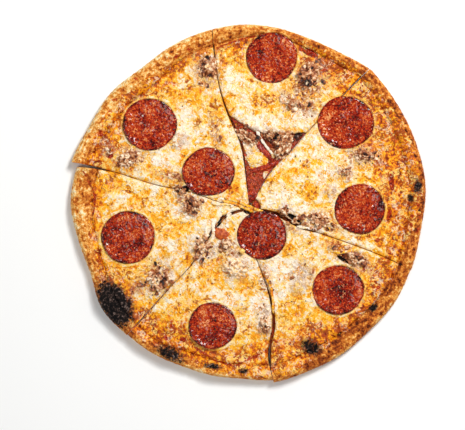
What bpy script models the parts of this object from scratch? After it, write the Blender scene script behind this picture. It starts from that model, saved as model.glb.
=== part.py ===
"""A baked pizza of about 305 mm, cut into six slices that still lie together.

Each slice is a crust with a raised rim, a layer of sauce and a layer of melted cheese. On them lie
nine discs of pepperoni and twenty crumbles of meat. Sizes in this script are millimetres and
degrees, measured from the hub where the cuts meet; the meshes are built in metres, +Z up.
"""

import math

import bmesh
import bpy
import numpy as np
from mathutils import Matrix, Vector, noise

MM = 0.001

# Points of a turned profile that come this close, in metres, are one point.
WELD = 0.00001

# Heights of the layers above the surface that the pizza rests on.
DOUGH_TOP = 4.0
SAUCE_FLOOR = 4.3
SAUCE_TOP = 5.3
CHEESE_FLOOR = 5.6
CHEESE_TOP = 8.5
CHEESE_CUT_EDGE = 7.3
CHEESE_OUTER_EDGE = 6.5
RIM_HEIGHT = 11.8

# How far each layer stays inside the foot of the rim.
SAUCE_CLEARANCE = 0.7
CHEESE_CLEARANCE = 0.9

# The rim in section: the share of its width from the outside, and the share of its height.
RIM_PROFILE = (
    (0.0, 0.30), (0.03, 0.56), (0.11, 0.82), (0.28, 0.98),
    (0.47, 1.0), (0.68, 0.84), (0.87, 0.56), (1.0, 0.0),
)
RIM_UNDERCUT = 0.10

# The cuts, as (radius, direction): straight strokes of a wheel that the cheese has pulled about.
CUTS = {
    "A": ((0, 99), (35, 97.3), (55, 98), (75, 102), (165, 101.9)),
    "B": ((0, 170), (20, 170), (45, 165.5), (80, 166.2), (120, 165.2), (165, 166.4)),
    "C": ((0, 196), (20, 198), (31, 207), (45, 216), (60, 222), (100, 224.8), (165, 226.2)),
    "D": ((0, 268), (30, 272), (48, 278.5), (62, 281.3), (103, 281.3), (118, 278.4), (165, 278)),
    "E": ((0, 349), (22, 348), (32, 343), (45, 339.5), (62, 340), (130, 339.7), (165, 337.8)),
    "F": ((0, 422), (20, 422), (37, 420), (56, 415), (80, 413), (115, 411), (165, 409)),
}

# Half the width of each cut's gap at these radii.
GAP_RADII = (0, 30, 60, 90, 120, 150)
GAPS = {
    "A": (0.8, 0.6, 1.2, 1.1, 0.6, 1.0),
    "B": (0.6, 0.6, 0.6, 0.5, 0.6, 2.4),
    "C": (1.2, 1.8, 0.8, 0.6, 0.8, 0.8),
    "D": (0.8, 0.7, 0.7, 1.5, 1.8, 0.7),
    "E": (0.7, 2.2, 0.7, 0.6, 0.6, 0.6),
    "F": (0.8, 0.7, 0.7, 0.6, 0.7, 1.1),
}

# The slices, anticlockwise from the one at the upper left. "rim" is the outer radius and "band" the
# rim's width at even steps from the first cut to the second, and "bare" is how far the cheese stops
# short of the rim. "cheese_from" is where the cheese starts along the slice.
SLICES = (
    {
        "cuts": "AB", "tip": 2.5, "cheese_from": (2.5,), "bare": (0.5, 1.0, 0.5, 0, 0.5, 1.5),
        "rim": (156.6, 154.6, 151.8, 154.8, 154.5, 158.2), "band": (15, 17, 20, 20, 18, 16),
    },
    {
        "cuts": "BC", "tip": 7, "cheese_from": (7,), "bare": (1.5, 1.0, 0, 0, 1.0, 0.5),
        "rim": (152.6, 153.8, 149.8, 147.8, 153.4, 151.6), "band": (20, 20, 17, 15, 17, 14),
    },
    {
        "cuts": "CD", "tip": 3, "cheese_from": (3,), "bare": (0.5, 1.0, 1.5, 2.5, 2.0, 1.0),
        "rim": (151.0, 150.0, 147.6, 147.2, 146.5, 149.0), "band": (14, 13, 15, 15, 14, 15),
    },
    {
        "cuts": "DE", "tip": 3, "cheese_from": (3,), "bare": (0, 2.5, 1.5, 0.5, 1.0, 2.0),
        "rim": (151.0, 148.6, 148.1, 146.6, 148.1, 147.4), "band": (16, 18, 18, 16, 15, 15),
    },
    {
        "cuts": "EF", "tip": 3, "cheese_from": (8,), "bare": (2.0, 3.0, 4.5, 1.5, 0, 0),
        "rim": (148.0, 147.8, 151.7, 152.8, 154.5, 157.5), "band": (15, 15, 16, 16, 15, 14),
    },
    {
        "cuts": "FA", "tip": 4.5,
        "cheese_from": (79, 70, 66, 64, 67, 79), "bare": (0, 1.0, 5.0, 1.0, 1.0, 0.5),
        "rim": (157.3, 153.9, 153.9, 155.9, 157.3, 156.6), "band": (13, 12, 10.5, 10, 13, 16),
    },
)

# Pepperoni: middle x and y, longer radius, shorter over longer, and the slope with its uphill direction.
PEPPERONI = (
    (18.5, 128.3, 21.7, 0.99, 4.5, 82),
    (-85.6, 71.3, 23.0, 0.96, 2.5, 140),
    (81.6, 73.0, 24.0, 0.93, 2.5, 42),
    (-35.5, 30.8, 22.3, 0.92, 3.5, 110),
    (93.7, -0.9, 21.5, 0.99, 2.5, 0),
    (10.2, -23.2, 21.2, 0.98, 2.0, 40),
    (-104.1, -25.0, 22.7, 0.99, 2.5, 195),
    (75.2, -70.0, 21.9, 0.96, 2.0, 320),
    (-32.0, -100.5, 20.5, 0.96, 3.0, 250),
)
PEPPERONI_THICKNESS = 1.8
PEPPERONI_FLOOR = 7.1
PEPPERONI_CURL = 0.9
SEAT_CLEARANCE = 0.45
SEAT_DEPTH = 14

# Meat crumbles: middle x and y, length, width, the direction of the length, and height.
MEAT = (
    (-36.5, 120.5, 19, 16, 100, 5.4),
    (49.6, 112.8, 23, 18, 70, 5.8),
    (36.0, 89.5, 14, 9, 160, 4.6),
    (28.0, 54.5, 24, 13, 64, 7.0),
    (16.5, 62.5, 9, 8, 20, 5.4),
    (-2.0, 60.5, 20, 9, 145, 4.8),
    (-103.4, 41.9, 17, 15, 40, 5.4),
    (-121.0, 49.0, 8, 6, 100, 4.0),
    (-59.2, 15.4, 10, 8, 150, 5.0),
    (-50.4, 2.0, 17, 14, 120, 5.4),
    (-41.0, -34.5, 13, 10, 45, 5.2),
    (-13.0, -50.5, 21, 17, 150, 6.0),
    (-20.5, -31.0, 12, 9, 30, 5.4),
    (-76.9, -59.8, 22, 17, 60, 5.8),
    (96.5, 45.2, 16, 10, 165, 5.0),
    (82.0, 30.8, 8, 7, 0, 4.4),
    (60.0, -10.0, 17, 11, 165, 5.0),
    (91.4, -43.4, 22, 9, 150, 5.0),
    (13.6, -100.5, 14, 8, 85, 4.8),
    (29.5, -2.6, 9, 7, 60, 5.2),
)
MEAT_FLOOR = 6.5
MEAT_ON_SAUCE = (3, 4, 5)
MEAT_ON_SAUCE_FLOOR = 5.62
MEAT_ROUGHNESS = 0.17
POCKET_CLEARANCE = 0.4

# A scrap of cheese left on the bared tip of the top slice.
SCRAP = (6.5, 41, 19, 14, 165, 2.3)
SCRAP_SEED = 40

# Blisters of the rim, as middle x and y, radius and height.
BLISTERS = (
    (-117, -78, 20, 3.2), (-69, -122, 13, 1.8), (34, -137, 16, 2.6), (62, -118, 14, 1.4), (-140, 38, 12, 2),
    (138, 34, 13, 1.8), (143, 12, 9, 1.5), (104, -104, 13, 1.6), (-8, 150, 13, 1.4), (-128, 78, 15, 1.6),
    (86, 122, 12, 1.4), (-70, 132, 14, 1.3), (-30, -140, 12, 1.4), (136, -42, 12, 1.5),
)

# Low mounds where cheese covers something: middle x and y, radius and height.
MOUNDS = (
    (-60.7, 57.2, 9, 1.2), (42.7, -65.8, 10, 1.0), (69, 14, 7, 0.8),
    (-38, -12, 12, 1.3), (4, -2, 9, 0.8),
)

# Herb and chilli flakes that show from a step away.
FLAKES_PER_SLICE = 7
FLAKE_SIZE = (3.2, 1.5, 1.1)
FLAKE_SEED = 11

# How finely the sheets are divided across and along a slice, and the narrow strip of cheese at a cut.
CRUST_COLUMNS = 16
CRUST_ROWS = 13
SAUCE_COLUMNS = 10
SAUCE_ROWS = 12
CHEESE_COLUMNS = 10
CHEESE_ROWS = 15
EDGE_STRIP = 2.6
DISC_SIDES = 20
SMOOTH_BELOW = 40


def smooth_steps(x, stations, values):
    """The value at x on a smooth curve through (stations, values), flat beyond both ends."""
    stations = np.asarray(stations, float)
    values = np.asarray(values, float)
    if len(values) == 1:
        return float(values[0])
    slopes = np.gradient(values, stations)
    x = float(np.clip(x, stations[0], stations[-1]))
    i = int(np.clip(np.searchsorted(stations, x) - 1, 0, len(stations) - 2))
    span = stations[i + 1] - stations[i]
    t = (x - stations[i]) / span
    rise = (3 - 2 * t) * t * t
    lead = t * (1 - t) ** 2 * slopes[i] - t * t * (1 - t) * slopes[i + 1]
    return float(values[i] + (values[i + 1] - values[i]) * rise + span * lead)


def along(share, values):
    """The value at a share from 0 to 1 of the way through evenly spaced values."""
    return smooth_steps(share, np.linspace(0, 1, len(values)), values)


def cut_direction(name, radius):
    stations, directions = zip(*CUTS[name])
    return smooth_steps(radius, stations, directions)


def gap(name, radius):
    return smooth_steps(radius, GAP_RADII, GAPS[name])


def slice_edges(piece, radius):
    """The two directions between which a slice lies at a radius, in degrees."""
    first, last = piece["cuts"]
    start = cut_direction(first, radius) + math.degrees(gap(first, radius) / radius)
    end = cut_direction(last, radius) - math.degrees(gap(last, radius) / radius)
    if end < start:
        start -= 360
    return start, end


def slice_point(piece, radius, share):
    """The point of a slice at a radius, a share of the way from its first cut to its second."""
    start, end = slice_edges(piece, radius)
    direction = math.radians(start + (end - start) * share)
    return radius * math.cos(direction), radius * math.sin(direction)


def waves(x, y, size, seed):
    """Smooth noise from -1 to 1 with humps of about the given size."""
    return noise.noise(Vector((x / size, y / size, seed)))


def hump(x, y, middle_x, middle_y, radius):
    """1 at the middle, falling smoothly to 0 at the radius."""
    away = math.hypot(x - middle_x, y - middle_y) / radius
    return (1 - away * away) ** 2 if away < 1 else 0.0


def rim_height(x, y, share):
    """How high the crust's rim stands above the dough at a share of its width from the outside."""
    stations, heights = zip(*RIM_PROFILE)
    level = float(np.interp(share, stations, heights))
    crest = RIM_HEIGHT - DOUGH_TOP + 1.3 * waves(x, y, 34, 3)
    crags = 0.9 * waves(x, y, 11, 5) + 0.5 * waves(x, y, 6, 9)
    blisters = sum(height * hump(x, y, bx, by, radius) for bx, by, radius, height in BLISTERS)
    return level * (crest + blisters) + crags * level * (1 - level * 0.4)


def cheese_height(x, y, from_cut, from_rim, from_tear):
    """The top of the cheese, given the distances to the cut, to its outer edge and to a torn edge."""
    level = CHEESE_TOP + 0.55 * waves(x, y, 21, 1) + 0.35 * waves(x, y, 9, 2)
    for mx, my, length, width, _, height in MEAT:
        level += 0.34 * height * hump(x, y, mx, my, 0.5 * (length + width) * 0.72 + 5)
    for mx, my, radius, height in MOUNDS:
        level += height * hump(x, y, mx, my, radius)
    for edge_height, distance, reach in (
        (CHEESE_CUT_EDGE, from_cut, 3.0),
        (CHEESE_OUTER_EDGE, from_rim, 7.0),
        (CHEESE_CUT_EDGE, from_tear, 3.0),
    ):
        near = max(0.0, 1 - distance / reach)
        level += (edge_height - level) * near * near
    return level


def material(name, colour, roughness):
    made = bpy.data.materials.new(name)
    made.use_nodes = True
    shader = made.node_tree.nodes["Principled BSDF"]
    shader.inputs["Base Color"].default_value = (*colour, 1)
    shader.inputs["Roughness"].default_value = roughness
    shader.inputs["Metallic"].default_value = 0
    return made


def collection(name):
    made = bpy.data.collections.new(name)
    bpy.context.scene.collection.children.link(made)
    return made


def add_object(name, bm, where, look=None, place=None):
    """Turns a bmesh in millimetres into an object in metres, with its faces pointing out."""
    bmesh.ops.transform(bm, matrix=Matrix.Scale(MM, 4), verts=bm.verts)
    bmesh.ops.recalc_face_normals(bm, faces=bm.faces)
    mesh = bpy.data.meshes.new(name)
    bm.to_mesh(mesh)
    bm.free()
    mesh.shade_smooth()
    mesh.set_sharp_from_angle(angle=math.radians(SMOOTH_BELOW))
    if look:
        mesh.materials.append(look)
    made = bpy.data.objects.new(name, mesh)
    where.objects.link(made)
    if place:
        made.matrix_basis = place
    return made


def at(x, y, z):
    """A move by millimetres."""
    return Matrix.Translation(Vector((x, y, z)) * MM)


def cutter(made):
    made.hide_render = True
    made.display_type = "WIRE"
    return made


def cut_by(target, tool, operation="DIFFERENCE"):
    """Adds an exact Boolean with an object or a collection."""
    step = target.modifiers.new(tool.name, "BOOLEAN")
    step.operation = operation
    step.solver = "EXACT"
    if isinstance(tool, bpy.types.Collection):
        step.operand_type = "COLLECTION"
        step.collection = tool
    else:
        step.object = tool
    return step


def bake_modifiers(made):
    """Applies the object's modifiers, keeping its name, place and material."""
    graph = bpy.context.evaluated_depsgraph_get()
    mesh = bpy.data.meshes.new_from_object(made.evaluated_get(graph))
    made.modifiers.clear()
    made.data = mesh


def slab(columns, rows, place, floor_place):
    """A closed sheet over a grid: place(across, along) gives its top, and floor_place its flat floor."""
    bm = bmesh.new()
    bmesh.ops.create_grid(bm, x_segments=columns, y_segments=rows, size=0.5)
    floor_verts = list(bm.verts)
    floor_faces = list(bm.faces)
    raised = bmesh.ops.extrude_face_region(bm, geom=floor_faces, use_keep_orig=True)["geom"]
    for vert in [item for item in raised if isinstance(item, bmesh.types.BMVert)]:
        vert.co = place(vert.co.x + 0.5, vert.co.y + 0.5)
    for vert in floor_verts:
        vert.co = floor_place(vert.co.x + 0.5, vert.co.y + 0.5)
    bmesh.ops.dissolve_faces(bm, faces=floor_faces, use_verts=True)
    bmesh.ops.remove_doubles(bm, verts=bm.verts, dist=0.01)
    return bm


def merge_flat(bm):
    """Makes one face of each group of faces that lie level beside each other."""
    level = [edge for edge in bm.edges if edge.is_manifold and edge.calc_face_angle(1) < 1e-4]
    bmesh.ops.dissolve_edges(bm, edges=level, use_verts=True)


def with_edge_strips(share, width, columns):
    """Moves even steps across a slice so that the outermost column is a narrow strip at each cut."""
    step = 1 / columns
    strip = min(EDGE_STRIP / max(width, 1e-6), step)
    if share < step - 1e-6:
        return share / step * strip
    if share > 1 - step + 1e-6:
        return 1 - (1 - share) / step * strip
    return strip + (share - step) / (1 - 2 * step) * (1 - 2 * strip)


def crust(number, piece, where, look):
    """A slice's dough: flat under the toppings, with the raised rim outside."""
    rim_rows = len(RIM_PROFILE) - 1
    rows = CRUST_ROWS + rim_rows
    shares = [share for share, _ in reversed(RIM_PROFILE)]

    def radius_and_share(across, step):
        rim = along(across, piece["rim"])
        foot = rim - along(across, piece["band"])
        if step <= CRUST_ROWS:
            return piece["tip"] + (foot - piece["tip"]) * step / CRUST_ROWS, 1.0
        share = shares[step - CRUST_ROWS]
        return rim - share * (rim - foot), share

    def top(across, lengthwise):
        radius, share = radius_and_share(across, round(lengthwise * rows))
        x, y = slice_point(piece, radius, across)
        return x, y, DOUGH_TOP + rim_height(x, y, share) if share < 1 else DOUGH_TOP

    def floor(across, lengthwise):
        radius, _ = radius_and_share(across, round(lengthwise * rows))
        rim = along(across, piece["rim"])
        inset = RIM_UNDERCUT * along(across, piece["band"])
        x, y = slice_point(piece, min(radius, rim - inset), across)
        return x, y, 0.0

    bm = slab(CRUST_COLUMNS, rows, top, floor)
    merge_flat(bm)
    return add_object(f"crust_{number}", bm, where, look)


def layer_radius(piece, across, lengthwise, start, clearance):
    rim = along(across, piece["rim"])
    outside = rim - along(across, piece["band"]) - clearance
    return start + (outside - start) * lengthwise, outside


def sauce(number, piece, where, look):
    """The thin layer of sauce that runs through the slice from its tip to the rim."""

    def place(height):
        def at(across, lengthwise):
            radius, _ = layer_radius(piece, across, lengthwise, piece["tip"] + 1, SAUCE_CLEARANCE)
            x, y = slice_point(piece, radius, across)
            return x, y, height

        return at

    bm = slab(SAUCE_COLUMNS, SAUCE_ROWS, place(SAUCE_TOP), place(SAUCE_FLOOR))
    merge_flat(bm)
    return add_object(f"sauce_{number}", bm, where, look)


def cheese_start(piece, across):
    return along(across, piece["cheese_from"]) + 1


def cheese_point(piece, across, lengthwise):
    """The point on a slice's cheese, with its height, at shares across and along it."""
    start = cheese_start(piece, across)
    clearance = CHEESE_CLEARANCE + along(across, piece["bare"])
    radius, outside = layer_radius(piece, across, lengthwise, start, clearance)
    first, last = slice_edges(piece, radius)
    width = math.radians(last - first) * radius
    share = with_edge_strips(across, width, CHEESE_COLUMNS)
    x, y = slice_point(piece, radius, share)
    from_cut = width * min(share, 1 - share)
    height = cheese_height(x, y, from_cut, outside - radius, radius - start)
    return x, y, height


def cheese(number, piece, where, look):
    """The melted cheese of a slice, thinner at its edges and heaped over the meat."""

    def floor(across, lengthwise):
        x, y, _ = cheese_point(piece, across, lengthwise)
        return x, y, CHEESE_FLOOR

    def top(across, lengthwise):
        return cheese_point(piece, across, lengthwise)

    bm = slab(CHEESE_COLUMNS, CHEESE_ROWS, top, floor)
    return add_object(f"cheese_{number}", bm, where, look)


def slope(degrees, uphill):
    """The turn of a disc that rises by degrees towards the direction uphill."""
    direction = math.radians(uphill)
    axis = Vector((math.sin(direction), -math.cos(direction), 0))
    return Matrix.Rotation(-math.radians(degrees), 4, -axis)


def disc_matrix(index):
    x, y, radius, _, tilt, uphill = PEPPERONI[index]
    lift = PEPPERONI_FLOOR + 0.75 * radius * math.sin(math.radians(tilt))
    return at(x, y, lift) @ slope(tilt, uphill)


def pepperoni(index, where, look):
    """A turned disc, dished in the middle and curled at its edge, and not quite round."""
    radius, squeeze = PEPPERONI[index][2:4]
    thick = PEPPERONI_THICKNESS
    profile = (
        (0, 0), (0.75 * radius, 0), (radius, 0.7 * thick + PEPPERONI_CURL),
        (0.96 * radius, thick + PEPPERONI_CURL), (0.7 * radius, thick), (0, thick),
    )
    bm = bmesh.new()
    line = [bm.verts.new((away, 0, height)) for away, height in reversed(profile)]
    for pair in zip(line, line[1:]):
        bm.edges.new(pair)
    disc = add_object(f"pepperoni_{index + 1}", bm, where, look, disc_matrix(index))
    turn = disc.modifiers.new("turn", "SCREW")
    turn.steps = DISC_SIDES
    turn.render_steps = DISC_SIDES
    turn.use_merge_vertices = True
    turn.merge_threshold = WELD
    bake_modifiers(disc)
    for vert in disc.data.vertices:
        direction = math.atan2(vert.co.y, vert.co.x)
        swell = 1 + 0.012 * math.sin(3 * direction + index) + 0.008 * math.sin(5 * direction + 2 * index)
        vert.co.x *= swell
        vert.co.y *= swell * squeeze
    disc.data.shade_smooth()
    disc.data.set_sharp_from_angle(angle=math.radians(SMOOTH_BELOW))
    return disc


def pepperoni_seat(index, where):
    """The round hollow that a disc has sunk into the cheese."""
    radius, squeeze = PEPPERONI[index][2:4]
    wide = 1.02 * radius + SEAT_CLEARANCE
    bm = bmesh.new()
    bmesh.ops.create_cone(
        bm, cap_ends=True, segments=DISC_SIDES, radius1=wide, radius2=wide, depth=SEAT_DEPTH,
        matrix=Matrix.Translation((0, 0, SEAT_DEPTH / 2 - SEAT_CLEARANCE)),
    )
    narrowing = (squeeze * radius + SEAT_CLEARANCE) / (radius + SEAT_CLEARANCE)
    bmesh.ops.scale(bm, vec=(1, narrowing, 1), verts=bm.verts)
    return cutter(add_object(f"seat_{index + 1}", bm, where, place=disc_matrix(index)))


def lump(name, shape, floor, seed, where, look=None, grow=0.0):
    """A rough lump with a flat underside. "grow" swells it all round, for the pocket it lies in."""
    x, y, length, width, direction, height = shape
    bm = bmesh.new()
    bmesh.ops.create_icosphere(bm, subdivisions=2, radius=1)
    middle = bmesh.ops.bisect_plane(
        bm, geom=bm.verts[:] + bm.edges[:] + bm.faces[:], dist=1e-4,
        plane_co=(0, 0, 0), plane_no=(0, 0, 1), clear_inner=True,
    )
    outline = [item for item in middle["geom_cut"] if isinstance(item, bmesh.types.BMEdge)]
    bmesh.ops.contextual_create(bm, geom=outline)
    for vert in bm.verts:
        ball = vert.co.copy()
        swell = 1 + MEAT_ROUGHNESS * noise.noise(ball * 1.7 + Vector((seed * 3.1, 0, 0)))
        vert.co.x = (length / 2 * swell + grow) * ball.x
        vert.co.y = (width / 2 * swell + grow) * ball.y
        vert.co.z = (height * swell + grow) * ball.z if ball.z > 1e-3 else -grow
    turn = Matrix.Rotation(math.radians(direction), 4, "Z")
    return add_object(name, bm, where, look, at(x, y, floor) @ turn)


def meat_floor(index):
    return MEAT_ON_SAUCE_FLOOR if index in MEAT_ON_SAUCE else MEAT_FLOOR


def meat(index, where, look):
    return lump(f"meat_{index + 1}", MEAT[index], meat_floor(index), index, where, look)


def meat_pocket(index, where):
    name = f"pocket_{index + 1}"
    return cutter(lump(name, MEAT[index], meat_floor(index), index, where, grow=POCKET_CLEARANCE))


def clear_of_toppings(x, y, room):
    """Whether a point lies clear of every disc and crumble by the given room."""
    discs = all(math.hypot(x - px, y - py) > radius + room for px, py, radius, *_ in PEPPERONI)
    lumps = all(math.hypot(x - mx, y - my) > length / 2 + room for mx, my, length, *_ in MEAT)
    return discs and lumps


def flake_places(piece, draw):
    """Places on a slice's cheese for its flakes, clear of the toppings, the edges and each other."""
    places = []
    while len(places) < FLAKES_PER_SLICE:
        across = draw.uniform(0.14, 0.86)
        lengthwise = math.sqrt(draw.uniform(0.1, 0.78))
        x, y, height = cheese_point(piece, across, lengthwise)
        apart = all(math.hypot(x - px, y - py) > 9 for px, py, _ in places)
        if apart and clear_of_toppings(x, y, 2.6):
            places.append((x, y, height))
    return places


def sprinkle(made, piece, draw):
    """Fuses flakes to the top of a slice's cheese with one union, and removes the loose ones."""
    flakes = collection(f"{made.name}_flakes")
    for place in flake_places(piece, draw):
        bm = bmesh.new()
        bmesh.ops.create_icosphere(bm, subdivisions=1, radius=0.5, matrix=Matrix.Diagonal((*FLAKE_SIZE, 1)))
        turn = Matrix.Rotation(draw.uniform(0, math.tau), 4, "Z")
        add_object("flake", bm, flakes, place=at(*place) @ turn)
    cut_by(made, flakes, "UNION")
    bake_modifiers(made)
    for loose in list(flakes.objects):
        bpy.data.objects.remove(loose)
    bpy.data.collections.remove(flakes)


def box(made):
    """The lowest and highest corners of an object's own mesh, in metres."""
    points = np.array([made.matrix_basis @ vert.co for vert in made.data.vertices])
    return points.min(0), points.max(0)


def near(made, tool):
    """Whether the boxes of two objects meet."""
    (low, high), (tool_low, tool_high) = box(made), box(tool)
    return bool((low < tool_high).all() and (tool_low < high).all())


def centre(items, others):
    """Moves everything so that the middle of the items' box comes to the origin."""
    corners = [box(item) for item in items]
    middle = (np.min([low for low, _ in corners], 0) + np.max([high for _, high in corners], 0)) / 2
    for item in items + others:
        item.location.x -= middle[0]
        item.location.y -= middle[1]


def build():
    for leftover in list(bpy.data.objects):
        bpy.data.objects.remove(leftover)
    parts = collection("pizza")
    cutters = collection("cutters")
    crust_look = material("baked_crust", (0.55, 0.27, 0.09), 0.8)
    sauce_look = material("tomato_sauce", (0.38, 0.05, 0.02), 0.35)
    cheese_look = material("melted_cheese", (0.86, 0.60, 0.26), 0.4)
    pepperoni_look = material("pepperoni", (0.42, 0.05, 0.025), 0.35)
    meat_look = material("browned_meat", (0.24, 0.16, 0.11), 0.6)
    draw = np.random.default_rng(FLAKE_SEED)

    seats = [pepperoni_seat(index, cutters) for index in range(len(PEPPERONI))]
    pockets = [meat_pocket(index, cutters) for index in range(len(MEAT))]
    made = [lump("cheese_scrap", SCRAP, MEAT_ON_SAUCE_FLOOR, SCRAP_SEED, parts, cheese_look)]
    for number, piece in enumerate(SLICES, 1):
        dough = crust(number, piece, parts, crust_look)
        layer = sauce(number, piece, parts, sauce_look)
        topping = cheese(number, piece, parts, cheese_look)
        sprinkle(topping, piece, draw)
        for tool in seats + pockets:
            for target in (dough, topping):
                if near(target, tool):
                    cut_by(target, tool)
        made += [dough, layer, topping]
    made += [pepperoni(index, parts, pepperoni_look) for index in range(len(PEPPERONI))]
    made += [meat(index, parts, meat_look) for index in range(len(MEAT))]

    centre(made, seats + pockets)


build()
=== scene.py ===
"""The pizza dressed over its solids: baked crust, melted cheese, sauce, pepperoni and meat.

Positions and sizes are millimetres and degrees, measured from the hub where the cuts meet, as in the
solids. Meshes are written in metres in the solids' frame.
"""

import math

import bmesh
import bpy
import numpy as np
from mathutils import Matrix, Vector, noise


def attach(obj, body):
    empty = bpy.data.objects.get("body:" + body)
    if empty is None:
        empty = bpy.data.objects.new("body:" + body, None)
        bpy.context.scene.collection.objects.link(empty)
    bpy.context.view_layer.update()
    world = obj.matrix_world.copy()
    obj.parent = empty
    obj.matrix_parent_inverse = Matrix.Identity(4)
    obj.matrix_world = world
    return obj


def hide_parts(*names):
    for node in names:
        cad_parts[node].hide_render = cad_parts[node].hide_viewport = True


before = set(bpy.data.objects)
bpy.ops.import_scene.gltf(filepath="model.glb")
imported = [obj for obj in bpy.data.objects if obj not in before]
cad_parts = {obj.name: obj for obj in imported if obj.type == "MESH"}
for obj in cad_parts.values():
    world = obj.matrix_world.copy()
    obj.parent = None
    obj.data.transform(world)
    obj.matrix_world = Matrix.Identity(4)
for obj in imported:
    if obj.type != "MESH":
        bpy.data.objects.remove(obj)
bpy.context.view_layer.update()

MM = 0.001

# The hub in the solids' frame.
HUB = (1.535, -3.844)

# The layers, as in the solids.
DOUGH_TOP = 4.0
SAUCE_TOP = 5.3
CHEESE_FLOOR = 5.6
CHEESE_TOP = 8.5
CHEESE_CUT_EDGE = 7.3
CHEESE_OUTER_EDGE = 6.5
CHEESE_CLEARANCE = 0.9
RIM_HEIGHT = 11.8
RIM_PROFILE = (
    (0.0, 0.30), (0.03, 0.56), (0.11, 0.82), (0.28, 0.98),
    (0.47, 1.0), (0.68, 0.84), (0.87, 0.56), (1.0, 0.0),
)
RIM_UNDERCUT = 0.10

CUTS = {
    "A": ((0, 99), (35, 97.3), (55, 98), (75, 102), (165, 101.9)),
    "B": ((0, 170), (20, 170), (45, 165.5), (80, 166.2), (120, 165.2), (165, 166.4)),
    "C": ((0, 196), (20, 198), (31, 207), (45, 216), (60, 222), (100, 224.8), (165, 226.2)),
    "D": ((0, 268), (30, 272), (48, 278.5), (62, 281.3), (103, 281.3), (118, 278.4), (165, 278)),
    "E": ((0, 349), (22, 348), (32, 343), (45, 339.5), (62, 340), (130, 339.7), (165, 337.8)),
    "F": ((0, 422), (20, 422), (37, 420), (56, 415), (80, 413), (115, 411), (165, 409)),
}
GAP_RADII = (0, 30, 60, 90, 120, 150)
GAPS = {
    "A": (0.8, 0.6, 1.2, 1.1, 0.6, 1.0),
    "B": (0.6, 0.6, 0.6, 0.5, 0.6, 2.4),
    "C": (1.2, 1.8, 0.8, 0.6, 0.8, 0.8),
    "D": (0.8, 0.7, 0.7, 1.5, 1.8, 0.7),
    "E": (0.7, 2.2, 0.7, 0.6, 0.6, 0.6),
    "F": (0.8, 0.7, 0.7, 0.6, 0.7, 1.1),
}
SLICES = (
    {
        "cuts": "AB", "tip": 2.5, "cheese_from": (2.5,), "bare": (0.5, 1.0, 0.5, 0, 0.5, 1.5),
        "rim": (156.6, 154.6, 151.8, 154.8, 154.5, 158.2), "band": (15, 17, 20, 20, 18, 16),
    },
    {
        "cuts": "BC", "tip": 7, "cheese_from": (7,), "bare": (1.5, 1.0, 0, 0, 1.0, 0.5),
        "rim": (152.6, 153.8, 149.8, 147.8, 153.4, 151.6), "band": (20, 20, 17, 15, 17, 14),
    },
    {
        "cuts": "CD", "tip": 3, "cheese_from": (3,), "bare": (0.5, 1.0, 1.5, 2.5, 2.0, 1.0),
        "rim": (151.0, 150.0, 147.6, 147.2, 146.5, 149.0), "band": (14, 13, 15, 15, 14, 15),
    },
    {
        "cuts": "DE", "tip": 3, "cheese_from": (3,), "bare": (0, 2.5, 1.5, 0.5, 1.0, 2.0),
        "rim": (151.0, 148.6, 148.1, 146.6, 148.1, 147.4), "band": (16, 18, 18, 16, 15, 15),
    },
    {
        "cuts": "EF", "tip": 3, "cheese_from": (8,), "bare": (2.0, 3.0, 4.5, 1.5, 0, 0),
        "rim": (148.0, 147.8, 151.7, 152.8, 154.5, 157.5), "band": (15, 15, 16, 16, 15, 14),
    },
    {
        "cuts": "FA", "tip": 4.5, "cheese_from": (79, 70, 66, 64, 67, 79),
        "bare": (0, 1.0, 5.0, 1.0, 1.0, 0.5),
        "rim": (157.3, 153.9, 153.9, 155.9, 157.3, 156.6), "band": (13, 12, 10.5, 10, 13, 16),
    },
)

# Discs of pepperoni as (x, y, radius, squeeze, tilt, uphill direction), as in the solids.
PEPPERONI = (
    (18.5, 128.3, 21.7, 0.99, 4.5, 82),
    (-85.6, 71.3, 23.0, 0.96, 2.5, 140),
    (81.6, 73.0, 24.0, 0.93, 2.5, 42),
    (-35.5, 30.8, 22.3, 0.92, 3.5, 110),
    (93.7, -0.9, 21.5, 0.99, 2.5, 0),
    (10.2, -23.2, 21.2, 0.98, 2.0, 40),
    (-104.1, -25.0, 22.7, 0.99, 2.5, 195),
    (75.2, -70.0, 21.9, 0.96, 2.0, 320),
    (-32.0, -100.5, 20.5, 0.96, 3.0, 250),
)
PEPPERONI_THICKNESS = 1.8
PEPPERONI_FLOOR = 7.1
PEPPERONI_CURL = 0.9

# Crumbles of meat as (x, y, length, width, direction, height), as in the solids.
MEAT = (
    (-36.5, 120.5, 19, 16, 100, 5.4),
    (49.6, 112.8, 23, 18, 70, 5.8),
    (36.0, 89.5, 14, 9, 160, 4.6),
    (28.0, 54.5, 24, 13, 64, 7.0),
    (16.5, 62.5, 9, 8, 20, 5.4),
    (-2.0, 60.5, 20, 9, 145, 4.8),
    (-103.4, 41.9, 17, 15, 40, 5.4),
    (-121.0, 49.0, 8, 6, 100, 4.0),
    (-59.2, 15.4, 10, 8, 150, 5.0),
    (-50.4, 2.0, 17, 14, 120, 5.4),
    (-41.0, -34.5, 13, 10, 45, 5.2),
    (-13.0, -50.5, 21, 17, 150, 6.0),
    (-20.5, -31.0, 12, 9, 30, 5.4),
    (-76.9, -59.8, 22, 17, 60, 5.8),
    (96.5, 45.2, 16, 10, 165, 5.0),
    (82.0, 30.8, 8, 7, 0, 4.4),
    (60.0, -10.0, 17, 11, 165, 5.0),
    (91.4, -43.4, 22, 9, 150, 5.0),
    (13.6, -100.5, 14, 8, 85, 4.8),
    (29.5, -2.6, 9, 7, 60, 5.2),
)
MEAT_FLOOR = 7.2
MOUND_SHARE = 0.20
MEAT_ON_SAUCE = (3, 4, 5)
MEAT_ON_SAUCE_FLOOR = 5.62
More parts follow.
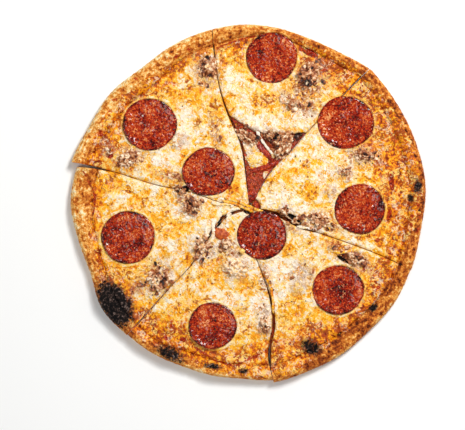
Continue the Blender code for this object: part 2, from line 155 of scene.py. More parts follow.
MEAT_ROUGHNESS = 0.17

# The scrap of cheese like the crumbles, then blisters and mounds as (x, y, radius, height), as in the
# solids. Meat shows grey through the first few mounds.
SCRAP = (6.5, 41, 19, 14, 165, 2.3)
SCRAP_SEED = 40
BLISTERS = (
    (-117, -78, 20, 3.2), (-69, -122, 13, 1.8), (34, -137, 16, 2.6), (62, -118, 14, 1.4), (-140, 38, 12, 2),
    (138, 34, 13, 1.8), (143, 12, 9, 1.5), (104, -104, 13, 1.6), (-8, 150, 13, 1.4), (-128, 78, 15, 1.6),
    (86, 122, 12, 1.4), (-70, 132, 14, 1.3), (-30, -140, 12, 1.4), (136, -42, 12, 1.5),
)
GREY_MOUNDS = 3
MOUNDS = (
    (-60.7, 57.2, 9, 1.2), (42.7, -65.8, 10, 1.0), (69, 14, 7, 0.8), (-38, -12, 12, 1.3), (4, -2, 9, 0.8),
)

# How fine the dressed pieces are: a cell of the baked sheets, rows over a crust's hidden flat and down its
# side, rows and columns of the torn tip, and the sides and steps of the discs and the strands.
CELL = 0.66
FLAT_ROWS = 26
SIDE_ROWS = 9
TORN_GRID = (120, 110)
DISC_SIDES = 190
DISC_STEPS = 46
STRAND_SIDES = 10
STRAND_STEPS = 44

# How round the edges of the cheese are, how far it creeps up the rim, how much the melted cheese and the
# baked crumb close the cuts, and how high anything may reach.
ROLL_AT_RIM = 1.6
ROLL_AT_CUT = 0.55
CREEP = 2.4
FOOT_OF_RIM = 0.82
CHEESE_CLOSES = 0.5
CRUMB_CLOSES = 0.75
LEAST_GAP = 0.13
HIGHEST = 14.75
RAGGED_EDGE = 0.3

# Patches of the cheese's colour: middle x and y, the two radii and the direction of the first.
GOLDEN = (
    (-26, 83, 15, 12, 40), (10, 94, 16, 9, 160), (53, 36, 12, 8, 30), (49, 14, 10, 9, 0),
    (37, -85, 13, 11, 60), (-33, -54, 13, 11, 20), (-6, -66, 8, 10, 0), (-118, 20, 17, 9, 165),
    (-72, -15, 20, 9, 150), (-11, 128, 8, 14, 0), (-92, -48, 20, 12, 120), (-100, 112, 20, 14, 40),
    (-53, 46, 8, 5, 30), (70, -30, 13, 7, 150), (-50, -85, 14, 10, 0), (112, 78, 20, 14, 110),
    (34, -36, 7, 6, 0), (-72, 28, 22, 6, 165), (112, -62, 18, 12, 60), (20, -120, 16, 9, 0),
    (-95, -10, 9, 26, 0), (116, 20, 12, 30, 0), (-15, 22, 8, 12, 0), (100, 52, 13, 16, 30),
    (-62, -98, 12, 14, 0), (60, -94, 14, 8, 20), (-50, 96, 10, 8, 40),
)
PALE = (
    (-59, 71, 14, 10, 60), (-73, 41, 12, 7, 160), (25, -66, 12, 11, 0), (60, 36, 9, 14, 0),
    (36, 4, 14, 8, 160), (9, 72, 18, 10, 0), (33, -134, 9, 12, 0), (-12, 112, 9, 14, 20),
    (-40, 122, 13, 12, 0), (-14, -6, 14, 7, 160), (20, -50, 8, 12, 0), (-2, -46, 9, 7, 0),
    (44, 76, 10, 8, 0), (-14, -82, 14, 7, 20), (42, -53, 11, 11, 0), (60, 60, 8, 10, 40),
    (-56, -4, 10, 8, 0), (10, -88, 9, 14, 0), (-4, 100, 8, 8, 0), (-113, 8, 10, 7, 0), (-34, -18, 9, 8, 0),
    (-56, 112, 8, 8, 0), (-128, 26, 6, 8, 0),
)

# Burnt blisters and red-brown patches, in the same order of numbers.
CHARRED = (
    (-115.5, -82, 20, 12, 121), (-68, -124, 13, 6, 155), (52, -119, 9, 7, 150), (143, 18, 4, 7, 0),
    (105, -85, 5, 3, 45), (-32, -135, 8, 2.5, 170), (-6, -139, 4, 2.5, 0), (137, 8, 2.5, 4, 20),
)
RUDDY = (
    (121, 12, 6, 24, 10), (61, -106, 13, 6, 165), (37, -109, 8, 9, 0), (-113, 96, 10, 5, 50),
    (84, -40, 16, 6, 150), (104, -26, 14, 6, 160), (-131, 4, 3, 10, 10), (-118, 50, 5, 5, 0),
    (-90, -30, 4, 4, 0), (50, 133, 9, 4, 155), (-96, 110, 9, 4, 60), (-45, -116, 13, 5, 150),
    (0, -127, 16, 4, 10), (112, 38, 6, 10, 20), (-60, 132, 18, 5, 20), (24, -116, 5, 9, 0),
    (-126, 60, 5, 9, 0), (74, 108, 7, 4, 130), (130, -14, 5, 11, 0), (110, -70, 9, 4, 120),
    (98, -52, 14, 8, 150), (-70, -106, 9, 12, 140), (62, 118, 10, 7, 140), (-14, 17, 7, 5, 150),
    (99, 56, 9, 6, 30), (-60, -110, 12, 6, 150), (2, -121, 16, 5, 10), (110, 5, 7, 12, 0),
    (141, -8, 9, 20, 0), (92, -112, 16, 7, 40), (16, -125, 6, 10, 0), (136, 38, 9, 14, 15),
    (78, -120, 13, 7, 35),
)

# Pools of sauce at the foot of the rim, and dark red lines where it has baked (the last also painted shade
# beside a cut), as points along each.
POOLS = (
    (50, 133, 9, 3.2, 155), (-120, 45, 3.5, 3, 0), (121, 22, 2.5, 8, 5), (119, -6, 2, 6, 170),
    (81, -41, 5, 2, 140),
)
BAKED_LINES = (
    ((-28, 137), (-8, 144), (10, 148)),
    ((-142, 31), (-134, 15), (-132, 7), (-134, -6)),
    ((-47, -119), (-30, -130), (-13, -135), (10, -124)),
    # Along cut D this dark red line is partly baked sauce and partly painted shade beside the cut.
    ((16, -62), (20, -80), (21, -100), (17, -120)),
)

# Hollows in the cheese, beside the toppings and at the cuts, sunk in and painted dark as painted shadow.
HOLLOWS = (
    (-2, -3.2, 4.5, 1.8, 160), (-55.5, 16, 4, 2.6, 30), (37.5, -8.5, 6.5, 2.0, 150),
    (-25, -11, 1.2, 5, 155), (-44, -31, 1.4, 6, 15), (80, -44, 6, 1.6, 150),
)

# How far in from the edge the cheese is browned, and how strongly, round the pizza by direction.
BROWNED_DIRECTIONS = (
    0, 20, 40, 55, 70, 85, 100, 115, 135, 150, 165, 180,
    195, 210, 225, 240, 255, 268, 280, 295, 310, 330, 345, 360,
)
BROWNED_WIDTH = (
    44, 46, 48, 34, 26, 20, 18, 26, 34, 32, 24, 24,
    28, 36, 36, 40, 38, 26, 34, 44, 38, 44, 42, 44,
)
BROWNED_STRENGTH = (
    1.2, 1.2, 1.1, 0.9, 0.95, 0.9, 0.75, 0.75, 0.75, 0.7, 0.6, 0.6,
    0.75, 1.0, 1.0, 1.15, 1.15, 0.7, 0.85, 1.15, 1.0, 1.1, 1.1, 1.2,
)
EDGE_RADIUS = 152

# How much of the rim's width is bare bread, and how light the bread is, round the pizza by direction.
BREAD_DIRECTIONS = (0, 25, 50, 70, 85, 100, 125, 150, 168, 185, 200, 215, 235, 262, 285, 300, 320, 345, 360)
BREAD_SHARE = (
    0.34, 0.34, 0.62, 0.42, 0.72, 1.10, 0.60, 0.50, 0.90, 0.80,
    0.50, 0.45, 0.60, 0.30, 0.30, 0.75, 0.95, 0.70, 0.34,
)
BREAD_TONE = (
    0.22, 0.22, 0.36, 0.40, 0.50, 0.54, 0.60, 0.64, 0.56, 0.62,
    0.56, 0.42, 0.44, 0.52, 0.36, 0.30, 0.42, 0.36, 0.22,
)

# The top slice's number, red ridges of sauce on its torn tip as (middle x and y, length, width, direction,
# height), and patches where cheese is left on it.
TOP_SLICE = 6
SAUCE_RIDGES = ((11.5, 49.5, 25, 6.5, 133, 2.0), (12.0, 35.0, 25, 5.5, 18, 1.6), (2.0, 10.5, 9, 8, 0, 1.4))
SAUCE_RIDGE_SEED = 60
RESIDUE = ((4, 44, 10, 7, 110), (-2, 55, 5, 6, 60), (14, 28, 3, 3, 0))

# Melted strands: points (x, y, height), half the strand's thickness, and how light it is.
STRANDS = (
    (
        ((5.5, 65.5, 8.6), (9.5, 59.0, 8.2), (13.5, 53.0, 7.9), (18.5, 47.0, 7.4), (20.5, 42.5, 6.6)),
        0.85, 0.85,
    ),
    (
        ((-22.0, 9.0, 8.7), (-12.0, 6.2, 8.9), (-3.0, 2.2, 8.7), (5.0, -1.2, 8.6), (12.0, -4.5, 8.2)),
        1.0, 0.45,
    ),
    (((-24.0, 6.5, 8.2), (-14.0, 4.0, 8.3), (-5.0, 0.2, 8.2), (3.0, -3.2, 8.2)), 0.9, 0.30),
    (((-34.0, 5.0, 8.4), (-28.0, 2.8, 9.0), (-20.5, 3.0, 8.6), (-13.0, 1.0, 8.4)), 0.9, 0.62),
    (((-30.5, -8.0, 8.4), (-31.5, -15.0, 9.2), (-31.0, -22.0, 9.2), (-33.5, -30.0, 8.2)), 1.2, 0.86),
    (((-35.0, -9.0, 8.5), (-37.5, -17.0, 9.2), (-36.5, -25.0, 8.6)), 1.1, 0.86),
    (((-17.5, -3.5, 8.4), (-19.0, -10.0, 9.0), (-20.0, -17.0, 8.6)), 1.2, 0.9),
    (((40.0, -15.5, 8.6), (50.0, -17.5, 9.3), (61.0, -19.0, 8.9), (70.0, -23.5, 8.4)), 0.8, 0.8),
    (((66.0, -33.0, 8.3), (74.0, -38.0, 9.2), (82.0, -37.5, 9.2), (92.0, -35.0, 8.6)), 0.9, 0.5),
    (((-104.0, 49.0, 8.4), (-98.0, 53.0, 9.0), (-92.0, 54.5, 8.6)), 0.9, 0.7),
    (((12.0, -56.0, 8.4), (17.0, -66.0, 9.0), (19.5, -78.0, 9.0), (20.0, -90.0, 8.4)), 0.8, 0.35),
)

# Loose bits: crumbs of bread as (x, y, size), and an orange scrap like the crumbles.
CRUMBS = ((-6.6, -36.8, 5.0), (-86, 110, 1.8), (120, 66, 1.6))
ORANGE_SCRAP = (-25.2, -22.6, 14, 9.5, 160, 2.4)
ORANGE_SCRAP_SEED = 71

# How much of each crumble of meat melted cheese covers, and how light the meat is.
MEAT_COVER = (
    0.22, 0.12, 0.40, 0.0, 0.0, 0.0, 0.25, 0.25, 0.05, 0.30,
    0.25, 0.85, 0.45, 0.28, 0.32, 0.30, 0.28, 0.25, 0.45, 0.1,
)
MEAT_TONE = (
    0.52, 0.42, 0.50, 0.60, 0.44, 0.62, 0.56, 0.46, 0.32, 0.46,
    0.38, 0.62, 0.44, 0.48, 0.52, 0.52, 0.54, 0.38, 0.44, 0.4,
)

# Where small bits of meat and dark flecks gather: middle x and y, the two radii, direction and how many.
CRUMBLED = (
    (-36, 118, 17, 12, 100, 20), (52, 108, 20, 13, 70, 34), (42, 90, 19, 10, 150, 38),
    (28, 54, 12, 9, 60, 18), (8, 62, 16, 6, 160, 14), (-103, 44, 16, 9, 20, 18), (-52, 8, 13, 11, 120, 20),
    (-40, -34, 12, 11, 70, 30), (-16, -38, 13, 8, 130, 22), (-78, -60, 17, 12, 60, 34),
    (-95, -66, 9, 6, 60, 6), (96, 45, 15, 8, 165, 16), (44, -55, 10, 9, 0, 5), (80, 30, 9, 7, 0, 8),
    (52, -12, 26, 6, 165, 30), (84, -42, 22, 7, 150, 36), (12, -96, 6, 15, 0, 16), (14, -62, 5, 16, 15, 12),
    (-62, 26, 22, 4, 165, 10), (30, -16, 16, 4, 160, 16), (-30, 66, 5, 14, 10, 5),
)

# Lights as (name, place, watts, size) in metres, and how far the camera is above the cheese, also in metres.
LIGHTS = (
    ("key", (0.50, 0.64, 1.02), 13.9, 0.28),
    ("gleam", (0.40, 0.50, 1.25), 4, 0.22),
    ("fill", (-0.45, -0.25, 1.3), 5, 0.5),
)
CAMERA_DISTANCE = 1.5
SENSOR = 36

# The photograph's width and height in pixels, the hub's pixel, and a pixel's size at the cheese.
PHOTO_SIZE = (465, 430)
HUB_PIXEL = (250, 208)
PIXEL = 0.8543


def srgb(red, green, blue):
    """A colour in the shaders' linear values, from the usual 0 to 255."""
    shares = [value / 255 for value in (red, green, blue)]
    return tuple(v / 12.92 if v <= 0.04045 else ((v + 0.055) / 1.055) ** 2.4 for v in shares) + (1.0,)


def smooth_steps(x, stations, values):
    """Values at x on a smooth curve through (stations, values), flat beyond both ends."""
    x = np.asarray(x, float)
    stations = np.asarray(stations, float)
    values = np.asarray(values, float)
    if len(values) == 1:
        return np.full(x.shape, values[0])
    slopes = np.gradient(values, stations)
    x = np.clip(x, stations[0], stations[-1])
    i = np.clip(np.searchsorted(stations, x) - 1, 0, len(stations) - 2)
    span = stations[i + 1] - stations[i]
    t = (x - stations[i]) / span
    rise = (3 - 2 * t) * t * t
    lead = t * (1 - t) ** 2 * slopes[i] - t * t * (1 - t) * slopes[i + 1]
    return values[i] + (values[i + 1] - values[i]) * rise + span * lead


def along(share, values):
    return smooth_steps(share, np.linspace(0, 1, len(values)), values)


def slice_edges(piece, radius, closed=0.0, ragged=0.0):
    """The two directions between which a slice lies at each radius, in degrees."""
    found = []
    for name, side in zip(piece["cuts"], (1, -1)):
        stations, directions = zip(*CUTS[name])
        gap = smooth_steps(radius, GAP_RADII, GAPS[name]) - closed
        if ragged:
            gap = gap + ragged * waves(radius, np.full(np.shape(radius), 40.0 * side), 3.1, ord(name))
        gap = np.maximum(gap, LEAST_GAP)
        found.append(smooth_steps(radius, stations, directions) + side * np.degrees(gap / radius))
    start, end = found
    return np.where(end < start, start - 360, start), end


def waves(x, y, size, seed):
    """Smooth noise from -1 to 1 with humps of about the given size."""
    spots = zip(np.ravel(x) / size, np.ravel(y) / size)
    return np.array([noise.noise((a, b, seed)) for a, b in spots]).reshape(np.shape(x))


def hump(x, y, middle_x, middle_y, radius):
    away = np.hypot(x - middle_x, y - middle_y) / radius
    return np.where(away < 1, (1 - np.minimum(away, 1) ** 2) ** 2, 0.0)


def step(value, low, high):
    """0 below low and 1 above high, smooth between."""
    t = np.clip((value - low) / (high - low), 0, 1)
    return t * t * (3 - 2 * t)


def patch(x, y, spot, soft=0.5):
    """1 inside an ellipse, falling to 0 a little outside it."""
    mx, my, long, short, direction = spot
    turn = math.radians(direction)
    u = (x - mx) * math.cos(turn) + (y - my) * math.sin(turn)
    v = (y - my) * math.cos(turn) - (x - mx) * math.sin(turn)
    return 1 - step(np.hypot(u / long, v / short), 1 - soft, 1 + soft)


def in_any(x, y, spots, soft):
    """The strongest of several patches."""
    return np.max([patch(x, y, spot, soft) for spot in spots], axis=0)


def turned(x, y, turn):
    """Places turned round the middle by an angle in radians."""
    return x * math.cos(turn) - y * math.sin(turn), x * math.sin(turn) + y * math.cos(turn)


def between(first, last, share, radius):
    """Places at these radii, at a share of the way from the first direction to the last."""
    direction = np.radians(first + (last - first) * share)
    return radius * np.cos(direction), radius * np.sin(direction)


def direction_of(x, y):
    return np.degrees(np.arctan2(y, x)) % 360


def line_distance(x, y, points):
    """The distance to a bent line."""
    nearest = np.full(np.shape(x), 1e9)
    for (ax, ay), (bx, by) in zip(points, points[1:]):
        dx, dy = bx - ax, by - ay
        t = np.clip(((x - ax) * dx + (y - ay) * dy) / (dx * dx + dy * dy), 0, 1)
        nearest = np.minimum(nearest, np.hypot(x - ax - t * dx, y - ay - t * dy))
    return nearest


def rim_height(x, y, share):
    """The rim's height above the dough at a share of its width from the outside."""
    stations, heights = zip(*RIM_PROFILE)
    level = smooth_steps(share, stations, heights)
    crest = RIM_HEIGHT - DOUGH_TOP + 1.3 * waves(x, y, 34, 3)
    crags = 0.9 * waves(x, y, 11, 5) + 0.5 * waves(x, y, 6, 9)
    for bx, by, radius, height in BLISTERS:
        crest = crest + height * hump(x, y, bx, by, radius)
    return level * crest + crags * level * (1 - level * 0.4)


def cheese_height(x, y, from_cut, from_rim, from_tear):
    level = CHEESE_TOP + 0.55 * waves(x, y, 21, 1) + 0.35 * waves(x, y, 9, 2)
    for mx, my, length, width, _, height in MEAT:
        level += MOUND_SHARE * height * hump(x, y, mx, my, 0.5 * (length + width) * 0.72 + 5)
    for mx, my, radius, height in MOUNDS:
        level += height * hump(x, y, mx, my, radius)
    for edge_height, distance, reach in (
        (CHEESE_CUT_EDGE, from_cut, 3.0),
        (CHEESE_OUTER_EDGE, from_rim, 7.0),
        (CHEESE_CUT_EDGE, from_tear, 3.0),
    ):
        near = np.maximum(0.0, 1 - distance / reach)
        level += (edge_height - level) * near * near
    return level


def disc_matrix(index):
    """Where a disc lies, as in the solids, in millimetres from the hub."""
    x, y, radius, _, tilt, uphill = PEPPERONI[index]
    lift = PEPPERONI_FLOOR + 0.75 * radius * math.sin(math.radians(tilt))
    direction = math.radians(uphill)
    axis = Vector((math.sin(direction), -math.cos(direction), 0))
    return Matrix.Translation((x, y, lift)) @ Matrix.Rotation(-math.radians(tilt), 4, -axis)


def bedded(x, y, z, floor):
    """Lowers a surface so that it runs under the discs, and raises a soft lip round each."""
    for index, (mx, my, radius, squeeze, _, _) in enumerate(PEPPERONI):
        near = np.hypot(x - mx, (y - my) / squeeze) / radius
        if near.min() > 1.4:
            continue
        matrix = disc_matrix(index)
        normal = matrix.to_3x3() @ Vector((0, 0, 1))
        plane = matrix.translation.z - ((x - mx) * normal.x + (y - my) * normal.y) / normal.z
        lip = 0.9 * np.exp(-((near - 1.05) / 0.06) ** 2) * (0.7 + 0.7 * waves(x, y, 7, 91))
        under = plane - 0.35 + 2.0 * np.clip((near - 0.75) / 0.25, 0, 1)
        z = np.where(near < 1.01, np.maximum(np.minimum(z, under), floor), z + lip * (near < 1.3))
    return z


def spread(length, count, rolls):
    """Steps across a width, close together where its two edges roll over.

    Returns the distance of each step and how much of the height is left there, on a new last axis.
    """
    angles = np.radians((90, 66, 42, 20))
    length = np.asarray(length, float)[..., None]
    first_roll, last_roll = (np.minimum(roll, 0.3 * length) for roll in rolls)
    first = first_roll * (1 - np.sin(angles))
    middle = first_roll + np.linspace(0, 1, count) * (length - first_roll - last_roll)
    last = length - (last_roll * (1 - np.sin(angles)))[..., ::-1]
    left = np.concatenate((np.cos(angles), np.ones(count), np.cos(angles)[::-1]))
    return np.concatenate((first, middle, last), -1), left


def closed_sheet(points, floor):
    """Vertices and faces of a sheet over a grid of points, with walls down to a flat floor."""
    rows, columns = points.shape[:2]
    index = np.arange(rows * columns).reshape(rows, columns)
    quads = np.stack((index[:-1, :-1], index[1:, :-1], index[1:, 1:], index[:-1, 1:]), -1).reshape(-1, 4)
    ring = np.concatenate((index[:-1, 0], index[-1, :-1], index[:0:-1, -1], index[0, :0:-1]))
    below = points.reshape(-1, 3)[ring].copy()
    below[:, 2] = floor
    low = rows * columns + np.arange(len(ring))
    walls = np.stack((ring, low, np.roll(low, -1), np.roll(ring, -1)), -1)
    verts = np.concatenate((points.reshape(-1, 3), below))
    faces = quads.tolist() + walls.tolist() + [low[::-1].tolist()]
    return verts, faces, ring


class Skyline:
    """How high the dressed pizza is at each place, so that loose bits can be laid on it."""

    def __init__(self, cell=0.7, reach=170):
        self.cell = cell
        self.reach = reach
        count = int(2 * reach / cell) + 1
        self.heights = np.zeros((count, count))

    def add(self, verts):
        column = ((verts[:, :2] + self.reach) / self.cell).astype(int)
        np.maximum.at(self.heights, (column[:, 0], column[:, 1]), verts[:, 2])

    def at(self, x, y):
        i, j = (int((value + self.reach) / self.cell) for value in (x, y))
        return self.heights[i - 1:i + 2, j - 1:j + 2].max()


skyline = Skyline()


def put_in_scene(name, data):
    made = bpy.data.objects.new(name, data)
    bpy.context.scene.collection.objects.link(made)
    return made


def add_piece(name, verts, faces, look, stands_for=(), masks=None, sharp=60):
    """Adds a mesh given in millimetres from the hub as a piece that rides on the pizza."""
    verts = np.asarray(verts, float)
    skyline.add(verts)
    mesh = bpy.data.meshes.new(name)
    mesh.from_pydata(((verts + (HUB[0], HUB[1], 0)) * MM).tolist(), [], faces)
    for key, values in (masks or {}).items():
        layer = mesh.attributes.new(key, "FLOAT", "POINT")
        layer.data.foreach_set("value", np.asarray(values, np.float32))
    mesh.materials.append(look)
    mesh.shade_smooth()
    mesh.set_sharp_from_angle(angle=math.radians(sharp))
    piece = put_in_scene(name, mesh)
    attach(piece, "root")
    if stands_for:
        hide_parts(*stands_for)
    return piece


def soft_max(first, second, softness=0.7):
    """The larger of two heights, rounded where they cross."""
    return softness * np.logaddexp(first / softness, second / softness)


def capped(z):
    """Heights kept under the highest point of the solids, with a soft shoulder."""
    return -soft_max(-z, -HIGHEST, 0.25)


def dips(z, reach=3):
    """How far each point of a grid lies below the mean of the points around it."""
    rows, columns = z.shape
    padded = np.pad(z, reach, mode="edge")
    starts = (0, reach, 2 * reach)
    return sum(padded[i:i + rows, j:j + columns] for i in starts for j in starts) / 9 - z


def browned(x, y):
    """How strongly the top is browned toward the rim, from 0 to 1."""
    direction = direction_of(x, y)
    width = smooth_steps(direction, BROWNED_DIRECTIONS, BROWNED_WIDTH) * (1 + 0.35 * waves(x, y, 12, 61))
    strength = smooth_steps(direction, BROWNED_DIRECTIONS, BROWNED_STRENGTH)
    return strength * (1 - step(EDGE_RADIUS - np.hypot(x, y), 0.45 * width, width))


def streaks(x, y):
    """Fine lines from -1 to 1 that run round the pizza."""
    arc = np.arctan2(y, x) * EDGE_RADIUS
    return waves(np.hypot(x, y) * 5, arc, 8, 111)


def curds(x, y):
    """Small puffs from about -1 to 1, which stand up light between darker hollows."""
    ridges = 0.6 - 2.4 * np.abs(waves(x, y, 5.2, 101))
    return 0.75 * waves(x, y, 3.1, 102) + 0.55 * ridges + 0.5 * waves(x, y, 1.8, 103)


def baked_masks(x, y, from_cut):
    """How light the top is baked, where it is charred, where painted shadow darkens the hollows, and where
    it is saucy or grey from the meat under it.
    """
    radius = np.hypot(x, y)
    brown = browned(x, y)
    gold = 0.38 + 0.30 * waves(x, y, 22, 31) + 0.85 * waves(x, y, 7, 33) + 0.30 * step(radius, 84, 130)
    for spot in GOLDEN:
        gold = np.maximum(gold, gold + (0.86 - gold) * 0.9 * patch(x, y, spot, 0.28))
    for spot in PALE:
        gold -= 0.45 * patch(x, y, spot, 0.32)
    rust = 0.02 + 0.30 * step(radius, 104, 140) + 0.16 * waves(x, y, 15, 37)
    rust += 0.42 * (1 - step(from_cut, 0.3, 2.2)) * np.clip(0.5 + 1.5 * waves(x, y, 12, 41), 0, 1)
    sauce = np.zeros(np.shape(x))
    for spot in RUDDY:
        here = patch(x, y, spot, 0.7)
        rust += 0.60 * here
        sauce = np.maximum(sauce, here * (0.30 + 0.9 * waves(x, y, 5, 43)))
    sauce = np.maximum(sauce, in_any(x, y, POOLS, 0.35))
    for points in BAKED_LINES:
        sauce = np.maximum(sauce, 0.8 * (1 - step(line_distance(x, y, points), 0.4, 1.7)))
    char_and_shadow = np.zeros(np.shape(x))
    for spot in CHARRED:
        char_and_shadow = np.maximum(char_and_shadow, patch(x, y, spot, 0.62) * (0.66 + 0.34 * (min(spot[2:4]) > 8)))
        rust += 0.55 * patch(x, y, spot, 0.95)
    # The hollows share the burns' mask: they are painted dark as painted shadow.
    char_and_shadow = np.maximum(char_and_shadow, 0.95 * in_any(x, y, HOLLOWS, 0.3))
    under = [(mx, my, length / 2 + 3, width / 2 + 3, turn) for mx, my, length, width, turn, _ in MEAT]
    grey = 0.9 * np.maximum(in_any(x, y, under, 0.4), in_any(x, y, [spot[:5] for spot in CRUMBLED], 0.6))
    under = [(mx, my, size, size * 0.8, 30) for mx, my, size, _ in MOUNDS[:GREY_MOUNDS]]
    grey = np.maximum(grey, 0.8 * in_any(x, y, under, 0.4))
    halo = np.zeros(np.shape(x))
    for mx, my, size, squeeze, _, _ in PEPPERONI:
        near = np.hypot(x - mx, (y - my) / squeeze) / size
        halo = np.maximum(halo, np.exp(-((near - 1.045) / 0.04) ** 2))
    tone = 0.79 - 0.44 * np.clip(gold, 0, 1.1) - 0.34 * np.clip(rust, 0, 1.2) - 0.38 * brown
    # The tone follows the puffs of the relief, lighter on them and darker in the hollows: partly the
    # cheese's own colour and partly painted shade.
    tone = np.maximum(tone, 0.10) + (0.10 + 0.14 * brown) * curds(x, y)
    tone = np.clip(tone, 0.08, 0.9)
    return {"tone": tone, "char_and_shadow": char_and_shadow, "sauce": np.clip(sauce, 0, 1), "grey": grey, "halo": halo}


def foot_shade(x, y, foot):
    """How much darker the top is painted along the foot of the rim, partly as browning and partly as painted
    shade in the crease.
    """
    return 0.09 * np.exp(-((np.hypot(x, y) - foot) / 4.5) ** 2)


def bread_masks(x, y, share):
    """How much the rim is bare bread there, and how light that bread is."""
    direction = direction_of(x, y)
    width = smooth_steps(direction, BREAD_DIRECTIONS, BREAD_SHARE)
    border = width + 0.28 * waves(x, y, 9, 27) + 0.16 * waves(x, y, 3.6, 28)
    bread = 1 - step(share, border - 0.16, border + 0.16)
    tone = smooth_steps(direction, BREAD_DIRECTIONS, BREAD_TONE) + 0.16 * waves(x, y, 12, 29)
    # The bread's tone follows the puffs of its relief too: partly its own colour and partly painted shade in
    # the hollows.
    tone += 0.30 * (1 - step(share, 0.01, 0.08)) - 0.10 * step(share, 0.5, 0.9) + 0.14 * curds(x, y)
    tone += 0.16 * streaks(x, y)
    return bread, tone


def with_floor(masks, ring, saucy=0.0):
    """Repeats the masks of a sheet's edge for the foot of its walls, which may be stained with sauce."""
    masks = {key: np.concatenate((values.ravel(), values.ravel()[ring])) for key, values in masks.items()}
    masks["sauce"][-len(ring):] = np.maximum(masks["sauce"][-len(ring):], saucy)
    return masks


def add_cheese(number, piece, look):
    across_lines = int(np.radians(np.ptp(slice_edges(piece, 120.0))) * 105 / CELL)
    nominal = np.concatenate((np.zeros(4), np.linspace(0, 1, across_lines), np.ones(4)))
    tear = 0.9 * waves(nominal * 60, nominal * 0, 4.5, number)
    tear += 0.5 * waves(nominal * 60, nominal * 0, 1.9, number)
    start = along(nominal, piece["cheese_from"]) + 1 + tear * (number == TOP_SLICE)
    rim = along(nominal, piece["rim"])
    band = along(nominal, piece["band"])
    outside = rim - band - CHEESE_CLEARANCE - along(nominal, piece["bare"])
    edge = rim - band + CREEP + 1.6 * waves(nominal * 120, nominal * 0, 11, number + 7)
    distance, left_along = spread(edge - start, int((edge - start).max() / CELL), (ROLL_AT_CUT, ROLL_AT_RIM))
    radius = (start[:, None] + distance).T
    first, last = slice_edges(piece, radius, CHEESE_CLOSES, RAGGED_EDGE)
    width = np.radians(last - first) * radius
    lines, left_across = spread(width[:, 0], across_lines, (ROLL_AT_CUT, ROLL_AT_CUT))
    share = lines / width[:, :1]
    x, y = between(first, last, share, radius)
    from_cut = width * np.minimum(share, 1 - share)
    z = cheese_height(x, y, from_cut, np.maximum(outside[None] - radius, 1.5), radius - start[None])
    z += (0.34 + 0.26 * browned(x, y)) * curds(x, y) + 0.7 * waves(x, y, 6.5, 15) + 0.5 * waves(x, y, 13, 14)
    on_rim = (rim - radius) / band
    climb = DOUGH_TOP + rim_height(x, y, np.clip(on_rim, 0, FOOT_OF_RIM)) + 0.45 * waves(x, y, 4, 17)
    climb += 0.35 - 1.2 * step(radius, edge - 5, edge)
    z += (climb - z) * step(radius, rim - band - 9, rim - band + 1)
    z -= in_any(x, y, POOLS, 0.3)
    z = np.maximum(z - 2.4 * in_any(x, y, HOLLOWS, 0.3), CHEESE_FLOOR + 0.2)
    z = bedded(x, y, z, CHEESE_FLOOR + 0.3)
    z = CHEESE_FLOOR + (capped(z) - CHEESE_FLOOR) * left_across[None]
    masks = baked_masks(x, y, from_cut)
    # Painted shade and light: darker in the hollows of the relief and lighter on its bumps, and darker along
    # the foot of the rim, there partly browning.
    masks["tone"] -= 0.30 * np.clip(dips(z), -0.6, 0.8) + foot_shade(x, y, rim - band)
    z = CHEESE_FLOOR + (z - CHEESE_FLOOR) * left_along[:, None]
    masks["bread"], masks["bread_tone"] = bread_masks(x, y, on_rim)
    verts, faces, ring = closed_sheet(np.stack((x, y, z), -1), CHEESE_FLOOR - 0.05)
    made = add_piece(
        f"slice_{number}_cheese", verts, faces, look, [f"cheese_{number}"], with_floor(masks, ring, 1.0)
    )


def add_crust(number, piece, look):
    columns = int(np.radians(np.ptp(slice_edges(piece, 140.0))) * 150 / CELL)
    across = np.linspace(0, 1, columns)
    rim = along(across, piece["rim"])
    band = along(across, piece["band"])
    tip = piece["tip"]
    inner = np.linspace(0, 1, FLAT_ROWS)[:, None] * (rim - band - tip) + tip
    shares = np.linspace(1, 0, int(band.max() / CELL))[1:]
    outer = rim - shares[:, None] * band
    down = np.linspace(0, 1, SIDE_ROWS)[1:]
    under = rim - RIM_UNDERCUT * band * (down[:, None] ** 1.6)
    radius = np.concatenate((inner, outer, under))
    share = np.concatenate((np.ones(len(inner)), shares, np.zeros(len(down))))[:, None] * np.ones(columns)
    first, last = slice_edges(piece, radius, CRUMB_CLOSES + 2 * (1 - step(radius, 100, 130)))
    x, y = between(first, last, across, radius)
    top = np.where(share < 1, DOUGH_TOP + rim_height(x, y, share), DOUGH_TOP)
    rough = 0.50 * curds(x, y) + 0.30 * waves(x, y, 1.9, 22) + 0.8 * np.maximum(0, waves(x, y, 6, 23))
    rough += 0.25 * streaks(x, y)
    top += rough * step(1 - share, 0.0, 0.15)
    top = capped(bedded(x, y, top, DOUGH_TOP))
    fall = np.concatenate((np.zeros(len(inner) + len(shares)), down))[:, None]
    z = top * (1 - fall) + 0.02 * fall
    swell = 0.6 * waves(x, y, 7, 25) * np.sin(np.pi * fall) + 0.35 * waves(x, y + z, 2.4, 26) * (fall < 1)
    grown = (radius + np.where(share < 0.12, swell - 0.3, 0)) / radius
    masks = baked_masks(x, y, np.full(x.shape, 9.0))
    masks["bread"], masks["bread_tone"] = bread_masks(x, y, share)
    masks["bread"] = np.where(share >= 1, 1, masks["bread"])
    masks["bread_tone"] = np.where(share >= 1, 0.25, masks["bread_tone"] - 0.12 * fall)
    # Painted shade and light: the bread darker in the hollows of its relief and lighter on its bumps, and
    # both looks darker along the foot of the rim, there partly browning.
    masks["bread_tone"] -= 0.22 * np.clip(dips(top), -0.6, 0.8) + foot_shade(x, y, rim - band)
    masks["tone"] -= foot_shade(x, y, rim - band)
    masks["grey"] = masks["grey"] * 0
    points = np.stack((x * grown, y * grown, z), -1)
    verts, faces, ring = closed_sheet(points, 0.0)
    made = add_piece(
        f"slice_{number}_crust", verts, faces, look, [f"crust_{number}"], with_floor(masks, ring)
    )


